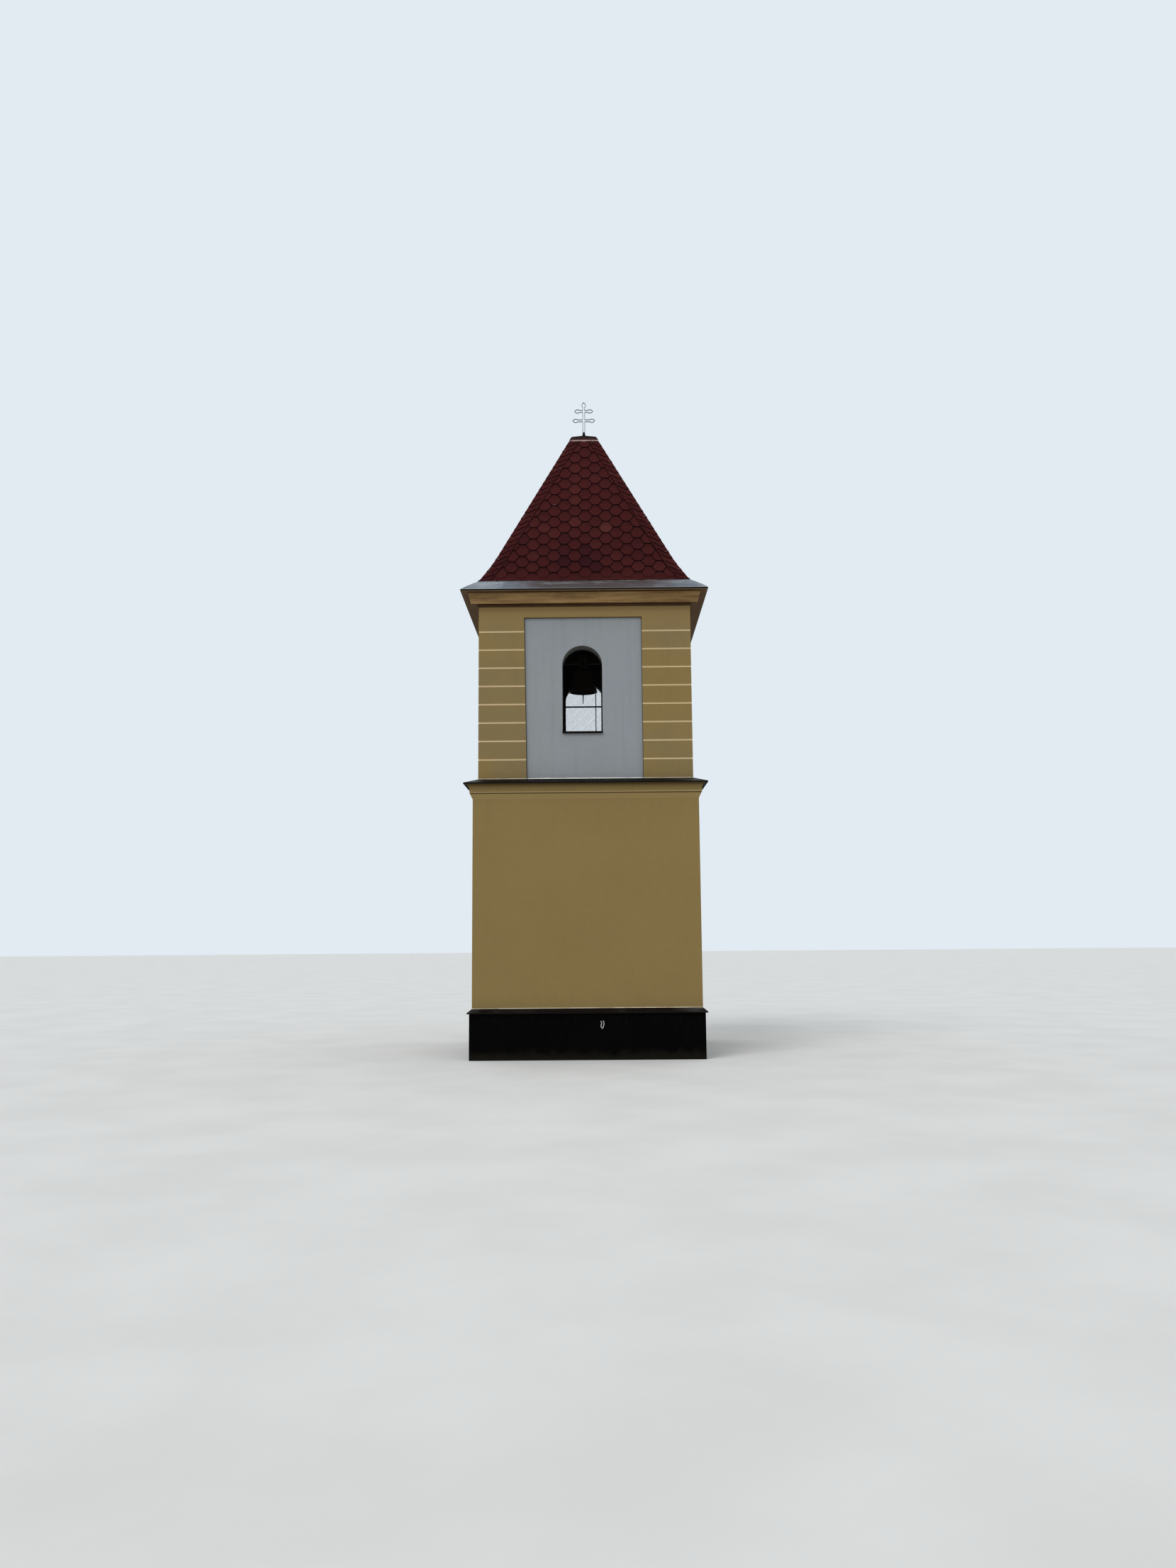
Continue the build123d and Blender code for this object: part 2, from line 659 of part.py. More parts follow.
# Belfry floor: joists let into the side walls, and boards with a hatch
with BuildPart() as floor_joists:
    with BuildSketch(Plane.XY.offset(LOWER_TOP - JOIST_DEPTH)):
        with GridLocations(JOIST_STEP, JOIST_STEP, 1, JOIST_COUNT):
            Rectangle(ROOM_WIDTH + 2 * JOIST_BEARING, JOIST_WIDTH)
    extrude(amount=JOIST_DEPTH)
write(floor_joists.part, "floor_joists")

floor_width = ROOM_WIDTH - 2 * FLOOR_GAP
hatch_place = JOIST_STEP * (JOIST_COUNT / 2 - 1)
with BuildPart() as belfry_floor:
    with BuildSketch(Plane.XY.offset(LOWER_TOP)):
        Rectangle(floor_width, floor_width)
        with Locations((-hatch_place, hatch_place)):
            Rectangle(HATCH, JOIST_STEP - JOIST_WIDTH, mode=Mode.SUBTRACT)
    extrude(amount=FLOOR_THICKNESS)
write(belfry_floor.part, "belfry_floor")

# Window sills and screens
with BuildPart() as window_sills:
    for side, (width, shift) in WINDOWS.items():
        back = PANEL_HALF - SCREEN_SETBACK
        nose = PANEL_HALF + SILL_PROJECTION
        face = facade(side, 0)
        sill_plane = Plane(
            origin=face.from_local_coords((shift, 0, 0)),
            x_dir=face.z_dir,
            z_dir=face.z_dir.cross(face.y_dir),
        )
        with BuildSketch(sill_plane):
            with BuildLine():
                Polyline(
                    (back, WINDOW_SILL),
                    (nose - SILL_LIP, WINDOW_SILL),
                    (nose - SILL_LIP, WINDOW_SILL + SILL_FALL / 2 - SILL_NOSE),
                    (nose, WINDOW_SILL + SILL_FALL / 2 - SILL_NOSE),
                    (nose, WINDOW_SILL + SILL_FALL / 2),
                    (back, WINDOW_SILL + SILL_FALL),
                    close=True,
                )
            make_face()
        extrude(amount=width / 2, both=True)
write(window_sills.part, "window_sills")

crossbar_height = WINDOW_SPRING - CROSSBAR_BELOW_SPRING
with BuildPart() as window_screens:
    for side, (width, shift) in WINDOWS.items():
        with BuildSketch(facade(side, PANEL_HALF - SCREEN_SETBACK)):
            add(arched_opening(width, WINDOW_SILL, WINDOW_SPRING, shift))
            offset(amount=-SCREEN_FRAME, mode=Mode.SUBTRACT)
            if side == "back":
                with Locations((shift, crossbar_height)):
                    Rectangle(width - SCREEN_FRAME, CROSSBAR)
                rise = sqrt((width / 2) ** 2 - UPRIGHT_OFFSET**2)
                with Locations((shift - UPRIGHT_OFFSET, WINDOW_SILL + SCREEN_FRAME / 2)):
                    Rectangle(
                        UPRIGHT,
                        WINDOW_SPRING + rise - WINDOW_SILL - SCREEN_FRAME,
                        align=(Align.CENTER, Align.MIN),
                    )
        extrude(amount=-SCREEN_DEPTH)
write(window_screens.part, "window_screens")

# Rear door: frame with a threshold, and a closed ledged leaf
door_face = LOWER_HALF - DOOR_SETBACK
with BuildPart() as door_frame:
    with BuildSketch(facade("back", door_face)):
        with Locations((0, DOOR_SILL)):
            Rectangle(DOOR_WIDTH, DOOR_HEIGHT, align=(Align.CENTER, Align.MIN))
        with Locations((0, DOOR_SILL + THRESHOLD)):
            Rectangle(
                DOOR_WIDTH - 2 * DOOR_FRAME,
                DOOR_HEIGHT - THRESHOLD - DOOR_FRAME,
                align=(Align.CENTER, Align.MIN),
                mode=Mode.SUBTRACT,
            )
    extrude(amount=-DOOR_FRAME_DEPTH)
write(door_frame.part, "door_frame")

with BuildPart() as door_leaf:
    with BuildSketch(facade("back", door_face - DOOR_LEAF / 2)):
        with Locations((0, DOOR_SILL + THRESHOLD)):
            Rectangle(
                DOOR_WIDTH - 2 * DOOR_FRAME - 2 * DOOR_GAP,
                DOOR_HEIGHT - THRESHOLD - DOOR_FRAME - DOOR_GAP,
                align=(Align.CENTER, Align.MIN),
            )
    extrude(amount=-DOOR_LEAF)
write(door_leaf.part, "door_leaf")

# Bell frame: two beams from front to back, each with a bearing block
with BuildPart() as bell_beams:
    with BuildSketch(Plane.XY.offset(BEAM_TOP - BEAM_DEPTH)):
        with Locations(*[(place, 0) for place in bearing_places]):
            Rectangle(BEAM_WIDTH, ROOM_WIDTH + 2 * BEAM_BEARING)
    extrude(amount=BEAM_DEPTH)
write(bell_beams.part, "bell_beams")

with BuildPart() as bearing_blocks:
    for place in bearing_places:
        with BuildSketch(Plane.YZ.offset(place)):
            with Locations((0, BEAM_TOP)):
                Rectangle(BEARING_LENGTH, BEARING_RISE, align=(Align.CENTER, Align.MIN))
            with Locations((0, AXLE_HEIGHT)):
                Circle(BEARING_RISE)
                Circle(AXLE_RADIUS + RUNNING_FIT, mode=Mode.SUBTRACT)
        extrude(amount=BEARING_WIDTH / 2, both=True)
write(bearing_blocks.part, "bearing_blocks")

# Yoke, its gudgeons and the straps that carry the bell
across_bell = Plane.YZ.offset(BELL_SHIFT)
with BuildPart() as yoke:
    with BuildSketch(across_bell):
        with Locations((0, YOKE_BOTTOM)):
            Rectangle(YOKE_WIDTH, YOKE_HEIGHT, align=(Align.CENTER, Align.MIN))
    extrude(amount=YOKE_LENGTH / 2, both=True)
write(yoke.part, "yoke")

with BuildPart() as gudgeons:
    for end in (-1, 1):
        end_plane = Plane(
            origin=(BELL_SHIFT + end * YOKE_LENGTH / 2, 0, 0), x_dir=(0, end, 0), z_dir=(end, 0, 0)
        )
        with BuildSketch(end_plane):
            with Locations((0, YOKE_BOTTOM + YOKE_HEIGHT / 2)):
                Rectangle(YOKE_WIDTH - 2 * GUDGEON_MARGIN, YOKE_HEIGHT - 2 * GUDGEON_MARGIN)
        extrude(amount=GUDGEON_PLATE)
        with BuildSketch(end_plane):
            with Locations((0, AXLE_HEIGHT)):
                Circle(AXLE_RADIUS)
        extrude(amount=BEARING_CENTRE + BEARING_WIDTH - YOKE_LENGTH / 2)
write(gudgeons.part, "gudgeons")

strap_foot = YOKE_BOTTOM - CROWN_HEIGHT * 3 / 4
with BuildPart() as yoke_straps:
    for place in (-STRAP_SPACING / 2, STRAP_SPACING / 2):
        with BuildSketch(across_bell.offset(place)):
            with Locations((0, strap_foot)):
                Rectangle(
                    YOKE_WIDTH + 2 * STRAP_THICKNESS,
                    YOKE_BOTTOM + YOKE_HEIGHT + STRAP_THICKNESS - strap_foot,
                    align=(Align.CENTER, Align.MIN),
                )
                Rectangle(
                    YOKE_WIDTH,
                    YOKE_BOTTOM + YOKE_HEIGHT - strap_foot,
                    align=(Align.CENTER, Align.MIN),
                    mode=Mode.SUBTRACT,
                )
        extrude(amount=STRAP_WIDTH / 2, both=True)
write(yoke_straps.part, "yoke_straps")

# Bell: a revolved shell with its sound bow and raised rings, and the cast crown on top
# Each station gives the height, the outer radius and the wall, as shares of height and radius.
BELL_STATIONS = (
    (0.0, 1.0, 0.03),
    (0.08, 0.97, 0.145),
    (0.2, 0.86, 0.1),
    (0.35, 0.75, 0.065),
    (0.5, 0.68, 0.055),
    (0.65, 0.63, 0.055),
    (0.8, 0.6, 0.06),
)
RING_STATIONS = ((0.16, 0.895), (0.2, 0.86), (0.74, 0.61), (0.79, 0.602), (0.84, 0.592))
CROWN_RADIUS_SHARE = 0.36
TOP_THICKNESS_SHARE = 0.07


def bell_point(height_share, radius_share):
    """Point of the bell's profile, from shares of its height and radius."""
    return (radius_share * BELL_RADIUS, BELL_RIM_HEIGHT + height_share * BELL_HEIGHT)


outer_points = [bell_point(height, radius) for height, radius, wall in BELL_STATIONS]
inner_points = [bell_point(height, radius - wall) for height, radius, wall in BELL_STATIONS]
crown_radius = CROWN_RADIUS_SHARE * BELL_RADIUS
inner_top = CROWN_FOOT - TOP_THICKNESS_SHARE * BELL_HEIGHT
bell_section = Plane(origin=(BELL_SHIFT, 0, 0), x_dir=(1, 0, 0), z_dir=(0, -1, 0))
bell_axis = Axis((BELL_SHIFT, 0, 0), (0, 0, 1))
with BuildPart() as bell:
    with BuildSketch(bell_section):
        with BuildLine():
            Spline(*outer_points)
            Spline(outer_points[-1], bell_point(0.93, 0.53), (crown_radius, CROWN_FOOT))
            Line((crown_radius, CROWN_FOOT), (0, CROWN_FOOT))
            Line((0, CROWN_FOOT), (0, inner_top))
            Line((0, inner_top), (crown_radius, inner_top))
            Spline((crown_radius, inner_top), bell_point(0.89, 0.49), inner_points[-1])
            Spline(*inner_points[::-1])
            Line(inner_points[0], outer_points[0])
        make_face()
        with Locations(*[bell_point(height, radius) for height, radius in RING_STATIONS]):
            Circle(BELL_WIRE)
    revolve(axis=bell_axis)
    # The crown is one casting with the bell, with two eyes for its bolts.
    with BuildSketch(bell_section):
        with Locations((0, inner_top)):
            Rectangle(CROWN_LENGTH, YOKE_BOTTOM - inner_top, align=(Align.CENTER, Align.MIN))
        with Locations((0, CROWN_FOOT + CROWN_HEIGHT / 2)):
            with GridLocations(STRAP_SPACING, STRAP_SPACING, 2, 1):
                Circle(CROWN_LOOP, mode=Mode.SUBTRACT)
    extrude(amount=YOKE_WIDTH / 2, both=True)
write(bell.part, "bell")

# Clapper: eye, rod, ball and tail in one forging, on the pin of its hanger
pivot_height = inner_top - CLAPPER_PIVOT_BELOW
cheek_inner = CLAPPER_EYE_WIDTH / 2 + HANGER_GAP
with BuildPart() as clapper_hanger:
    with BuildSketch(Plane.XY.offset(inner_top - HANGER_PLATE)):
        with Locations((BELL_SHIFT, 0)):
            Rectangle(4 * CLAPPER_EYE, 3 * CLAPPER_EYE)
    extrude(amount=HANGER_PLATE)
    for end in (-1, 1):
        with BuildSketch(across_bell.offset(end * (cheek_inner + HANGER_CHEEK / 2))):
            with Locations((0, pivot_height)):
                Circle(CLAPPER_EYE)
                Rectangle(
                    2 * CLAPPER_EYE,
                    CLAPPER_PIVOT_BELOW - HANGER_PLATE / 2,
                    align=(Align.CENTER, Align.MIN),
                )
        extrude(amount=HANGER_CHEEK / 2, both=True)
    with BuildSketch(across_bell):
        with Locations((0, pivot_height)):
            Circle(CLAPPER_PIN)
    extrude(amount=cheek_inner + HANGER_CHEEK + HANGER_GAP, both=True)
write(clapper_hanger.part, "clapper_hanger")

ball_height = BELL_RIM_HEIGHT + CLAPPER_BALL_ABOVE_RIM
tail_tip = BELL_RIM_HEIGHT - CLAPPER_TAIL_BELOW_RIM
with BuildPart() as clapper:
    with BuildSketch(bell_section):
        with BuildLine():
            Polyline(
                (0, pivot_height - CLAPPER_PIN),
                (CLAPPER_ROD, pivot_height - CLAPPER_PIN),
                (CLAPPER_ROD, ball_height - CLAPPER_BALL),
                (CLAPPER_ROD + HANGER_GAP, ball_height - 2 * CLAPPER_BALL),
                (CLAPPER_TIP, tail_tip),
                (0, tail_tip),
                close=True,
            )
        make_face()
    revolve(axis=bell_axis)
    with Locations((BELL_SHIFT, 0, ball_height)):
        Sphere(CLAPPER_BALL)
    with BuildSketch(across_bell):
        with Locations((0, pivot_height)):
            Circle(CLAPPER_EYE)
    extrude(amount=CLAPPER_EYE_WIDTH / 2, both=True)
    with BuildSketch(across_bell):
        with Locations((0, pivot_height)):
            Circle(CLAPPER_PIN + RUNNING_FIT)
    extrude(amount=CLAPPER_EYE_WIDTH, both=True, mode=Mode.SUBTRACT)
write(clapper.part, "clapper")
print("axle height", AXLE_HEIGHT, "and clapper pivot height", round(pivot_height, 2))
print("overall height", round(cross_top, 1), "and eave width", 2 * (EAVE_HALF + SHEET))
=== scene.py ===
# %% [markdown]
# # A rendered bell tower under a hexagon-shingled roof
# The imported CAD model already holds every main form: plinth, walls, string course, cornice, roof,
# cross and bell. This script dresses it. It never moves a CAD part. It gives each one a
# procedural material and adds what was too fine for the solids: roof shingles, wire mesh,
# dented sheet metal, nails, door boards and a hook on the plinth.

# %% Load the frame
import math
import random

import bmesh
import bpy
from mathutils import Matrix, Vector, noise


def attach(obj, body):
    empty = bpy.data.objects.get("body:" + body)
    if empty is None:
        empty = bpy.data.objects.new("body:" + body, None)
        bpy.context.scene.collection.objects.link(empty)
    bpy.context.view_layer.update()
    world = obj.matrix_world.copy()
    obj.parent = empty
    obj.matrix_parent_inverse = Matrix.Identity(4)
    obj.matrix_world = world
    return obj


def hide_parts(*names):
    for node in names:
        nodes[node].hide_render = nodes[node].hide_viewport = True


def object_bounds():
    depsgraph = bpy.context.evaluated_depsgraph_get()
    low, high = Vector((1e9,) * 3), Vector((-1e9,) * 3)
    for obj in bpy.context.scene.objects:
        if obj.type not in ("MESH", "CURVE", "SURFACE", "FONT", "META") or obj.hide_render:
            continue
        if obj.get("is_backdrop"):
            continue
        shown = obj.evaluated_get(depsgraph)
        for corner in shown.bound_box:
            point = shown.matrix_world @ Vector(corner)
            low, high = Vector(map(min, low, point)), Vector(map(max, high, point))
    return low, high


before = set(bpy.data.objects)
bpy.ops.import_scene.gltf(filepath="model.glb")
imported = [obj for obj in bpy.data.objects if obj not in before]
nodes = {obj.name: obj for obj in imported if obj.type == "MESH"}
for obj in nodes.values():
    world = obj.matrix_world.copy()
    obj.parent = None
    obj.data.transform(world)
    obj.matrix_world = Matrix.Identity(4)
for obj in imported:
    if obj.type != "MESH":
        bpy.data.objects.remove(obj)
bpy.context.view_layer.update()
scene = bpy.context.scene


def new_object(name, data):
    """An object that is linked into the scene."""
    made = bpy.data.objects.new(name, data)
    scene.collection.objects.link(made)
    return made


# %% [markdown]
# ## Camera
# The viewer stands in the street about 20 m from the tower, with the lens 1.77 m up and tilted up
# a little. The turn and the roll come from the slopes of the tower's own edges. The height and the
# pitch are a compromise between two estimates of the horizon that didn't agree. The camera is
# built from direction vectors, which is exact and avoids the order of Euler angles.

# %% Camera
CAMERA_PLACE = Vector((0.16, -19.91, 1.77))
PITCH, YAW, ROLL = math.radians(7.34), math.radians(0.39), math.radians(0.45)
FOCAL_PIXELS, IMAGE_HEIGHT, SENSOR = 1700, 2212, 36

forward = Vector(
    (-math.sin(YAW) * math.cos(PITCH), math.cos(YAW) * math.cos(PITCH), math.sin(PITCH))
)
level = Vector((math.cos(YAW), math.sin(YAW), 0))
upright = level.cross(forward)
right = math.cos(ROLL) * level - math.sin(ROLL) * upright
up = math.sin(ROLL) * level + math.cos(ROLL) * upright

lens = bpy.data.cameras.new("street_camera")
lens.sensor_width = SENSOR
lens.lens = FOCAL_PIXELS / IMAGE_HEIGHT * SENSOR
camera = new_object("street_camera", lens)
turn = Matrix((right, up, -forward)).transposed().to_4x4()
camera.matrix_world = Matrix.Translation(CAMERA_PLACE) @ turn
scene.camera = camera
scene.view_settings.view_transform = "Standard"
print("lens", round(lens.lens, 2), "mm")

# %% [markdown]
# ## Values and nodes
# A procedural material is a small program of nodes. Written node by node, it is long and hard to
# read. So what comes out of a node is wrapped as a value here, and Python's own signs between
# values add Math nodes: `dirt * 0.14` is one Multiply node. A value knows the node tree it lies
# in, so no helper has to be told. Plain numbers, places and colours mix freely with values.


# %% Values
class Value:
    """One output of a node, to reckon with."""

    def __init__(self, node, output=0):
        self.socket = node.outputs[output]

    def __add__(self, other):
        return calc("ADD", self, other)

    def __sub__(self, other):
        return calc("SUBTRACT", self, other)

    def __rsub__(self, other):
        return calc("SUBTRACT", other, self)

    def __mul__(self, other):
        return calc("MULTIPLY", self, other)

    def __truediv__(self, other):
        return calc("DIVIDE", self, other)

    def __rtruediv__(self, other):
        return calc("DIVIDE", other, self)

    def __abs__(self):
        return calc("ABSOLUTE", self)


def tree_of(*values):
    """The node tree that these values lie in."""
    return next(value.socket.id_data for value in values if isinstance(value, Value))


def feed(value, socket):
    """Links a value to a socket, or sets the socket to a number, place or colour."""
    if isinstance(value, Value):
        socket.id_data.links.new(value.socket, socket)
    else:
        socket.default_value = (*value, 1) if socket.type == "RGBA" else value


def add(tree, kind, inputs=None, **settings):
    """Adds a node with its settings, and feeds its inputs by name or number."""
    node = tree.nodes.new("ShaderNode" + kind)
    for name, setting in settings.items():
        setattr(node, name, setting)
    for name, value in (inputs or {}).items():
        feed(value, node.inputs[name])
    return node


def calc(operation, *values):
    """One Math node."""
    return Value(add(tree_of(*values), "Math", dict(enumerate(values)), operation=operation))


# %% Steps, blends and noise
# A Mix node has its own sockets for numbers, places and colours; these are the ones for colours.
MIX_FIRST, MIX_SECOND, MIX_COLOUR = 6, 7, 2


def ease(value, start, end, low=0.0, high=1.0):
    """Turns a value into a soft step from low to high."""
    inputs = dict(enumerate((value, start, end, low, high)))
    return Value(add(tree_of(value), "MapRange", inputs, interpolation_type="SMOOTHSTEP"))


def band(value, low, high, soft=0.003):
    """1 between two numbers, with soft ends."""
    return ease(value, low - soft, low) * ease(value, high + soft, high)


def mix(factor, first, second, mode="MIX"):
    """Blends two colours, from the first at factor 0 to the second at 1."""
    tree = tree_of(factor, first, second)
    inputs = {0: factor, MIX_FIRST: first, MIX_SECOND: second}
    return Value(add(tree, "Mix", inputs, data_type="RGBA", blend_type=mode), MIX_COLOUR)


def toned(colour, *tones):
    """Multiplies a colour by values near 1."""
    for tone in tones:
        grey = Value(add(tree_of(tone), "CombineColor", dict.fromkeys(range(3), tone)))
        colour = mix(1.0, colour, grey, "MULTIPLY")
    return colour


def cloud(place, scale, detail=3.0, roughness=0.5):
    """Soft noise between 0 and 1, with scale features a metre."""
    inputs = {"Vector": place, "Scale": scale, "Detail": detail, "Roughness": roughness}
    return Value(add(tree_of(place), "TexNoise", inputs), "Fac")


# %% Places
def stretch(place, scale):
    """Scales a place along each axis, so that noise becomes streaks or boards."""
    return Value(add(tree_of(place), "VectorMath", {0: place, 1: scale}, operation="MULTIPLY"))


def split(place):
    """The x, y and z of a place."""
    node = add(tree_of(place), "SeparateXYZ", {0: place})
    return [Value(node, index) for index in range(3)]


def facing_up(place):
    """1 on a level surface, 0 on an upright one and -1 on an underside."""
    return split(Value(add(tree_of(place), "NewGeometry"), "True Normal"))[2]


def outward_reach(place):
    """How far a place lies from the tower's axis, measured square to the nearest side."""
    x, y, z = split(place)
    return calc("MAXIMUM", abs(x), abs(y))


def from_middle(place, middle=0.0):
    """How far a place lies from the middle of its own side, to the left or right."""
    x, y, z = split(place)
    return calc("MINIMUM", abs(x - middle), abs(y - middle))


# %% [markdown]
# ## Shared effects as node groups
# Render, sheet metal, timber and shingles all share a few effects: slow changes of tone, rain
# streaks, dirt that gathers at a height, fine grain, paler edges that are rubbed and carry a
# painted highlight, and wood grain. Each effect is a node group with named inputs and outputs,
# made once and placed with its own values.


# %% Node group helpers
def new_group(name, inputs, *outputs):
    """An empty group; returns its tree, its inputs as values and its output sockets."""
    tree = bpy.data.node_groups.new(name, "ShaderNodeTree")
    inputs = {"Place": (0, 0, 0), **inputs}
    for label, value in inputs.items():
        kind = "NodeSocketVector" if isinstance(value, tuple) else "NodeSocketFloat"
        socket = tree.interface.new_socket(name=label, in_out="INPUT", socket_type=kind)
        socket.default_value = value
    for label in outputs:
        tree.interface.new_socket(name=label, in_out="OUTPUT", socket_type="NodeSocketFloat")
    start, end = tree.nodes.new("NodeGroupInput"), tree.nodes.new("NodeGroupOutput")
    print("group", name, "takes", *inputs, "and gives", *outputs)
    return tree, [Value(start, label) for label in inputs], end.inputs


def use(group, place, **values):
    """Places a group in a material; returns its outputs by name."""
    node = add(tree_of(place), "Group", {"Place": place, **values}, node_tree=group)
    return {output.name: Value(node, output.name) for output in node.outputs}


# %% Group: slow mottle
mottle, given, made = new_group("slow mottle", {"Size": 1.0, "Contrast": 0.05}, "Tone")
place, size, contrast = given
feed((cloud(place, 1.0 / size, 4.0) - 0.5) * contrast * 4.0 + 1.0, made["Tone"])


def mottled(colour, place, *patches):
    """Varies a colour in patches, each given by its size in metres and its contrast."""
    tones = [use(mottle, place, Size=size, Contrast=contrast)["Tone"] for size, contrast in patches]
    return toned(colour, *tones)


# %% Group: rain streaks
measures = {"Width": 0.05, "Length": 1.2, "Top": 1.0, "Reach": 1.0}
streaks, given, made = new_group("rain streaks", measures, "Mask")
place, width, length, top, reach = given
across = 1.0 / width
scale = Value(add(streaks, "CombineXYZ", {0: across, 1: across, 2: 1.0 / length}))
runs = cloud(stretch(place, scale), 1.0, 2.0)
fade = ease(split(place)[2], top - reach, top)
feed(ease(runs, 0.5, 0.72) * fade, made["Mask"])

# %% Group: dirt at a height
ledge_dirt, given, made = new_group("dirt at a height", {"Foot": 0.0, "Reach": 0.3}, "Mask")
place, foot, reach = given
above = split(place)[2] - foot
ragged = calc("MAXIMUM", cloud(place, 7.0, 4.0) * reach, 0.01)
falling = ease(above / ragged, 0.0, 1.6, 1.0, 0.0)
feed(falling * ease(above, -0.02, 0.0), made["Mask"])

# %% Group: fine grain
grain, given, made = new_group("fine grain", {"Size": 0.004}, "Height", "Speck")
place, size = given
fineness = 1.0 / size
feed(cloud(place, fineness, 3.0, 0.6), made["Height"])
feed(ease(cloud(place, fineness * 0.31, 2.0), 0.62, 0.75), made["Speck"])

# %% Group: rubbed and lit edge
# A Bevel node looks round the nearest edges. Where its normal leaves the surface's own normal,
# an arris is close, and paint rubs thin and pale there. The pale colour is also a painted
# highlight, such as an arris catches.
worn_and_lit_edge, given, made = new_group("rubbed and lit edge", {"Radius": 0.01}, "Mask")
place, radius = given
rounded = Value(add(worn_and_lit_edge, "Bevel", {"Radius": radius}, samples=4))
surface = Value(add(worn_and_lit_edge, "NewGeometry"), "Normal")
likeness = add(worn_and_lit_edge, "VectorMath", {0: rounded, 1: surface}, operation="DOT_PRODUCT")
edge = ease(Value(likeness, "Value"), 0.98, 0.86)
feed(edge * ease(cloud(place, 9.0, 4.0), 0.35, 0.6), made["Mask"])

# %% Group: wood grain
wood_grain, given, made = new_group("wood grain", {"Along": (1, 12, 12)}, "Tone", "Height")
place, along = given
fibre_place = stretch(place, along)
broad, fine = cloud(fibre_place, 1.6, 3.0, 0.6), cloud(fibre_place, 14.0, 3.0, 0.7)
fibres = broad * 0.7 + fine * 0.3
feed(ease(fibres, 0.3, 0.7), made["Tone"])
feed(fibres, made["Height"])

# %% [markdown]
# ## Materials
# Each material starts from the colour that the real surface shows, and changes it a little from
# place to place. Relief comes from a Bump node, and the shader itself always stays in the material.
# Colours are painted by place in metres, not by a flat layout of each part, so dirt and joints
# run on from one part to the next.

# %% Material helpers
finishes = {}


def new_material(name, roughness, metallic=0.0, specular=0.3):
    """A material with its plain settings; returns its shader and the place being shaded."""
    finishes[name] = material = bpy.data.materials.new(name)
    material.use_nodes = True
    shader = material.node_tree.nodes["Principled BSDF"]
    shader.inputs["Roughness"].default_value = roughness
    shader.inputs["Metallic"].default_value = metallic
    shader.inputs["Specular IOR Level"].default_value = specular
    print("material", name)
    return shader, Value(add(material.node_tree, "TexCoord"), "Object")


def coat(shader, colour, height, depth):
    """Gives a shader its colour, and a relief in which a height of 1 stands depth metres out."""
    bump = add(shader.id_data, "Bump", {"Strength": 1.0, "Distance": depth, "Height": height})
    feed(colour, shader.inputs["Base Color"])
    feed(Value(bump), shader.inputs["Normal"])


def dirt_above(place, foot, reach):
    """Dirt on a wall above a ledge."""
    return use(ledge_dirt, place, Foot=foot, Reach=reach)["Mask"]


def streaks_below(place, top, reach, width, length):
    """Rain streaks below an edge."""
    return use(streaks, place, Width=width, Length=length, Top=top, Reach=reach)["Mask"]


def rubbed_and_lit_edges(place, radius):
    """Broken rubbing and painted highlight along the edges."""
    return use(worn_and_lit_edge, place, Radius=radius)["Mask"]


# %% [markdown]
# ### Painted render
# The walls are lime render with a matt ochre paint, and a cool grey in the sunk panels. Up close
# it is sandy; from the street it shows only faint patches, greener in one place and browner in the
# next, a little splash dirt above each ledge and thin grey streaks below each sheet-metal edge.
# All walls share one recipe, and a small function adds what only one of them has.

# %% Wall measures and colours
# Heights, and half the width of the room, in metres. Colours are linear, not sRGB.
ROOM_HALF = 1.285
PLINTH_TOP, LOWER_TOP, BELT_TOP = 0.75, 3.985, 4.205
PANEL_HEAD, WALL_HEAD = 6.745, 6.94
OCHRE, OCHRE_BROWN = (0.223, 0.157, 0.059), (0.221, 0.155, 0.060)
# The frieze's ochre is lighter than the piers' paint, as painted light against the cornice's shade.
PIER_OCHRE, LIT_FRIEZE_OCHRE = (0.204, 0.152, 0.070), (0.262, 0.177, 0.073)
GREY, GREY_COOL = (0.253, 0.268, 0.279), (0.247, 0.266, 0.284)
SOOT, SPLASH = (0.05, 0.045, 0.038), (0.115, 0.088, 0.052)
# The groove cream is cream paint made paler as a painted highlight.
FOOT_LINE, GROOVE_CREAM_LIT = (0.56, 0.49, 0.37), (0.62, 0.49, 0.30)
# Near black painted as the shade of the unlit room inside the walls.
ROOM_SHADE = (0.006, 0.005, 0.0045)


def indoors(place):
    """1 on surfaces of the unlit room inside the walls, 0 outside."""
    return ease(outward_reach(place), ROOM_HALF + 0.012, ROOM_HALF + 0.004)


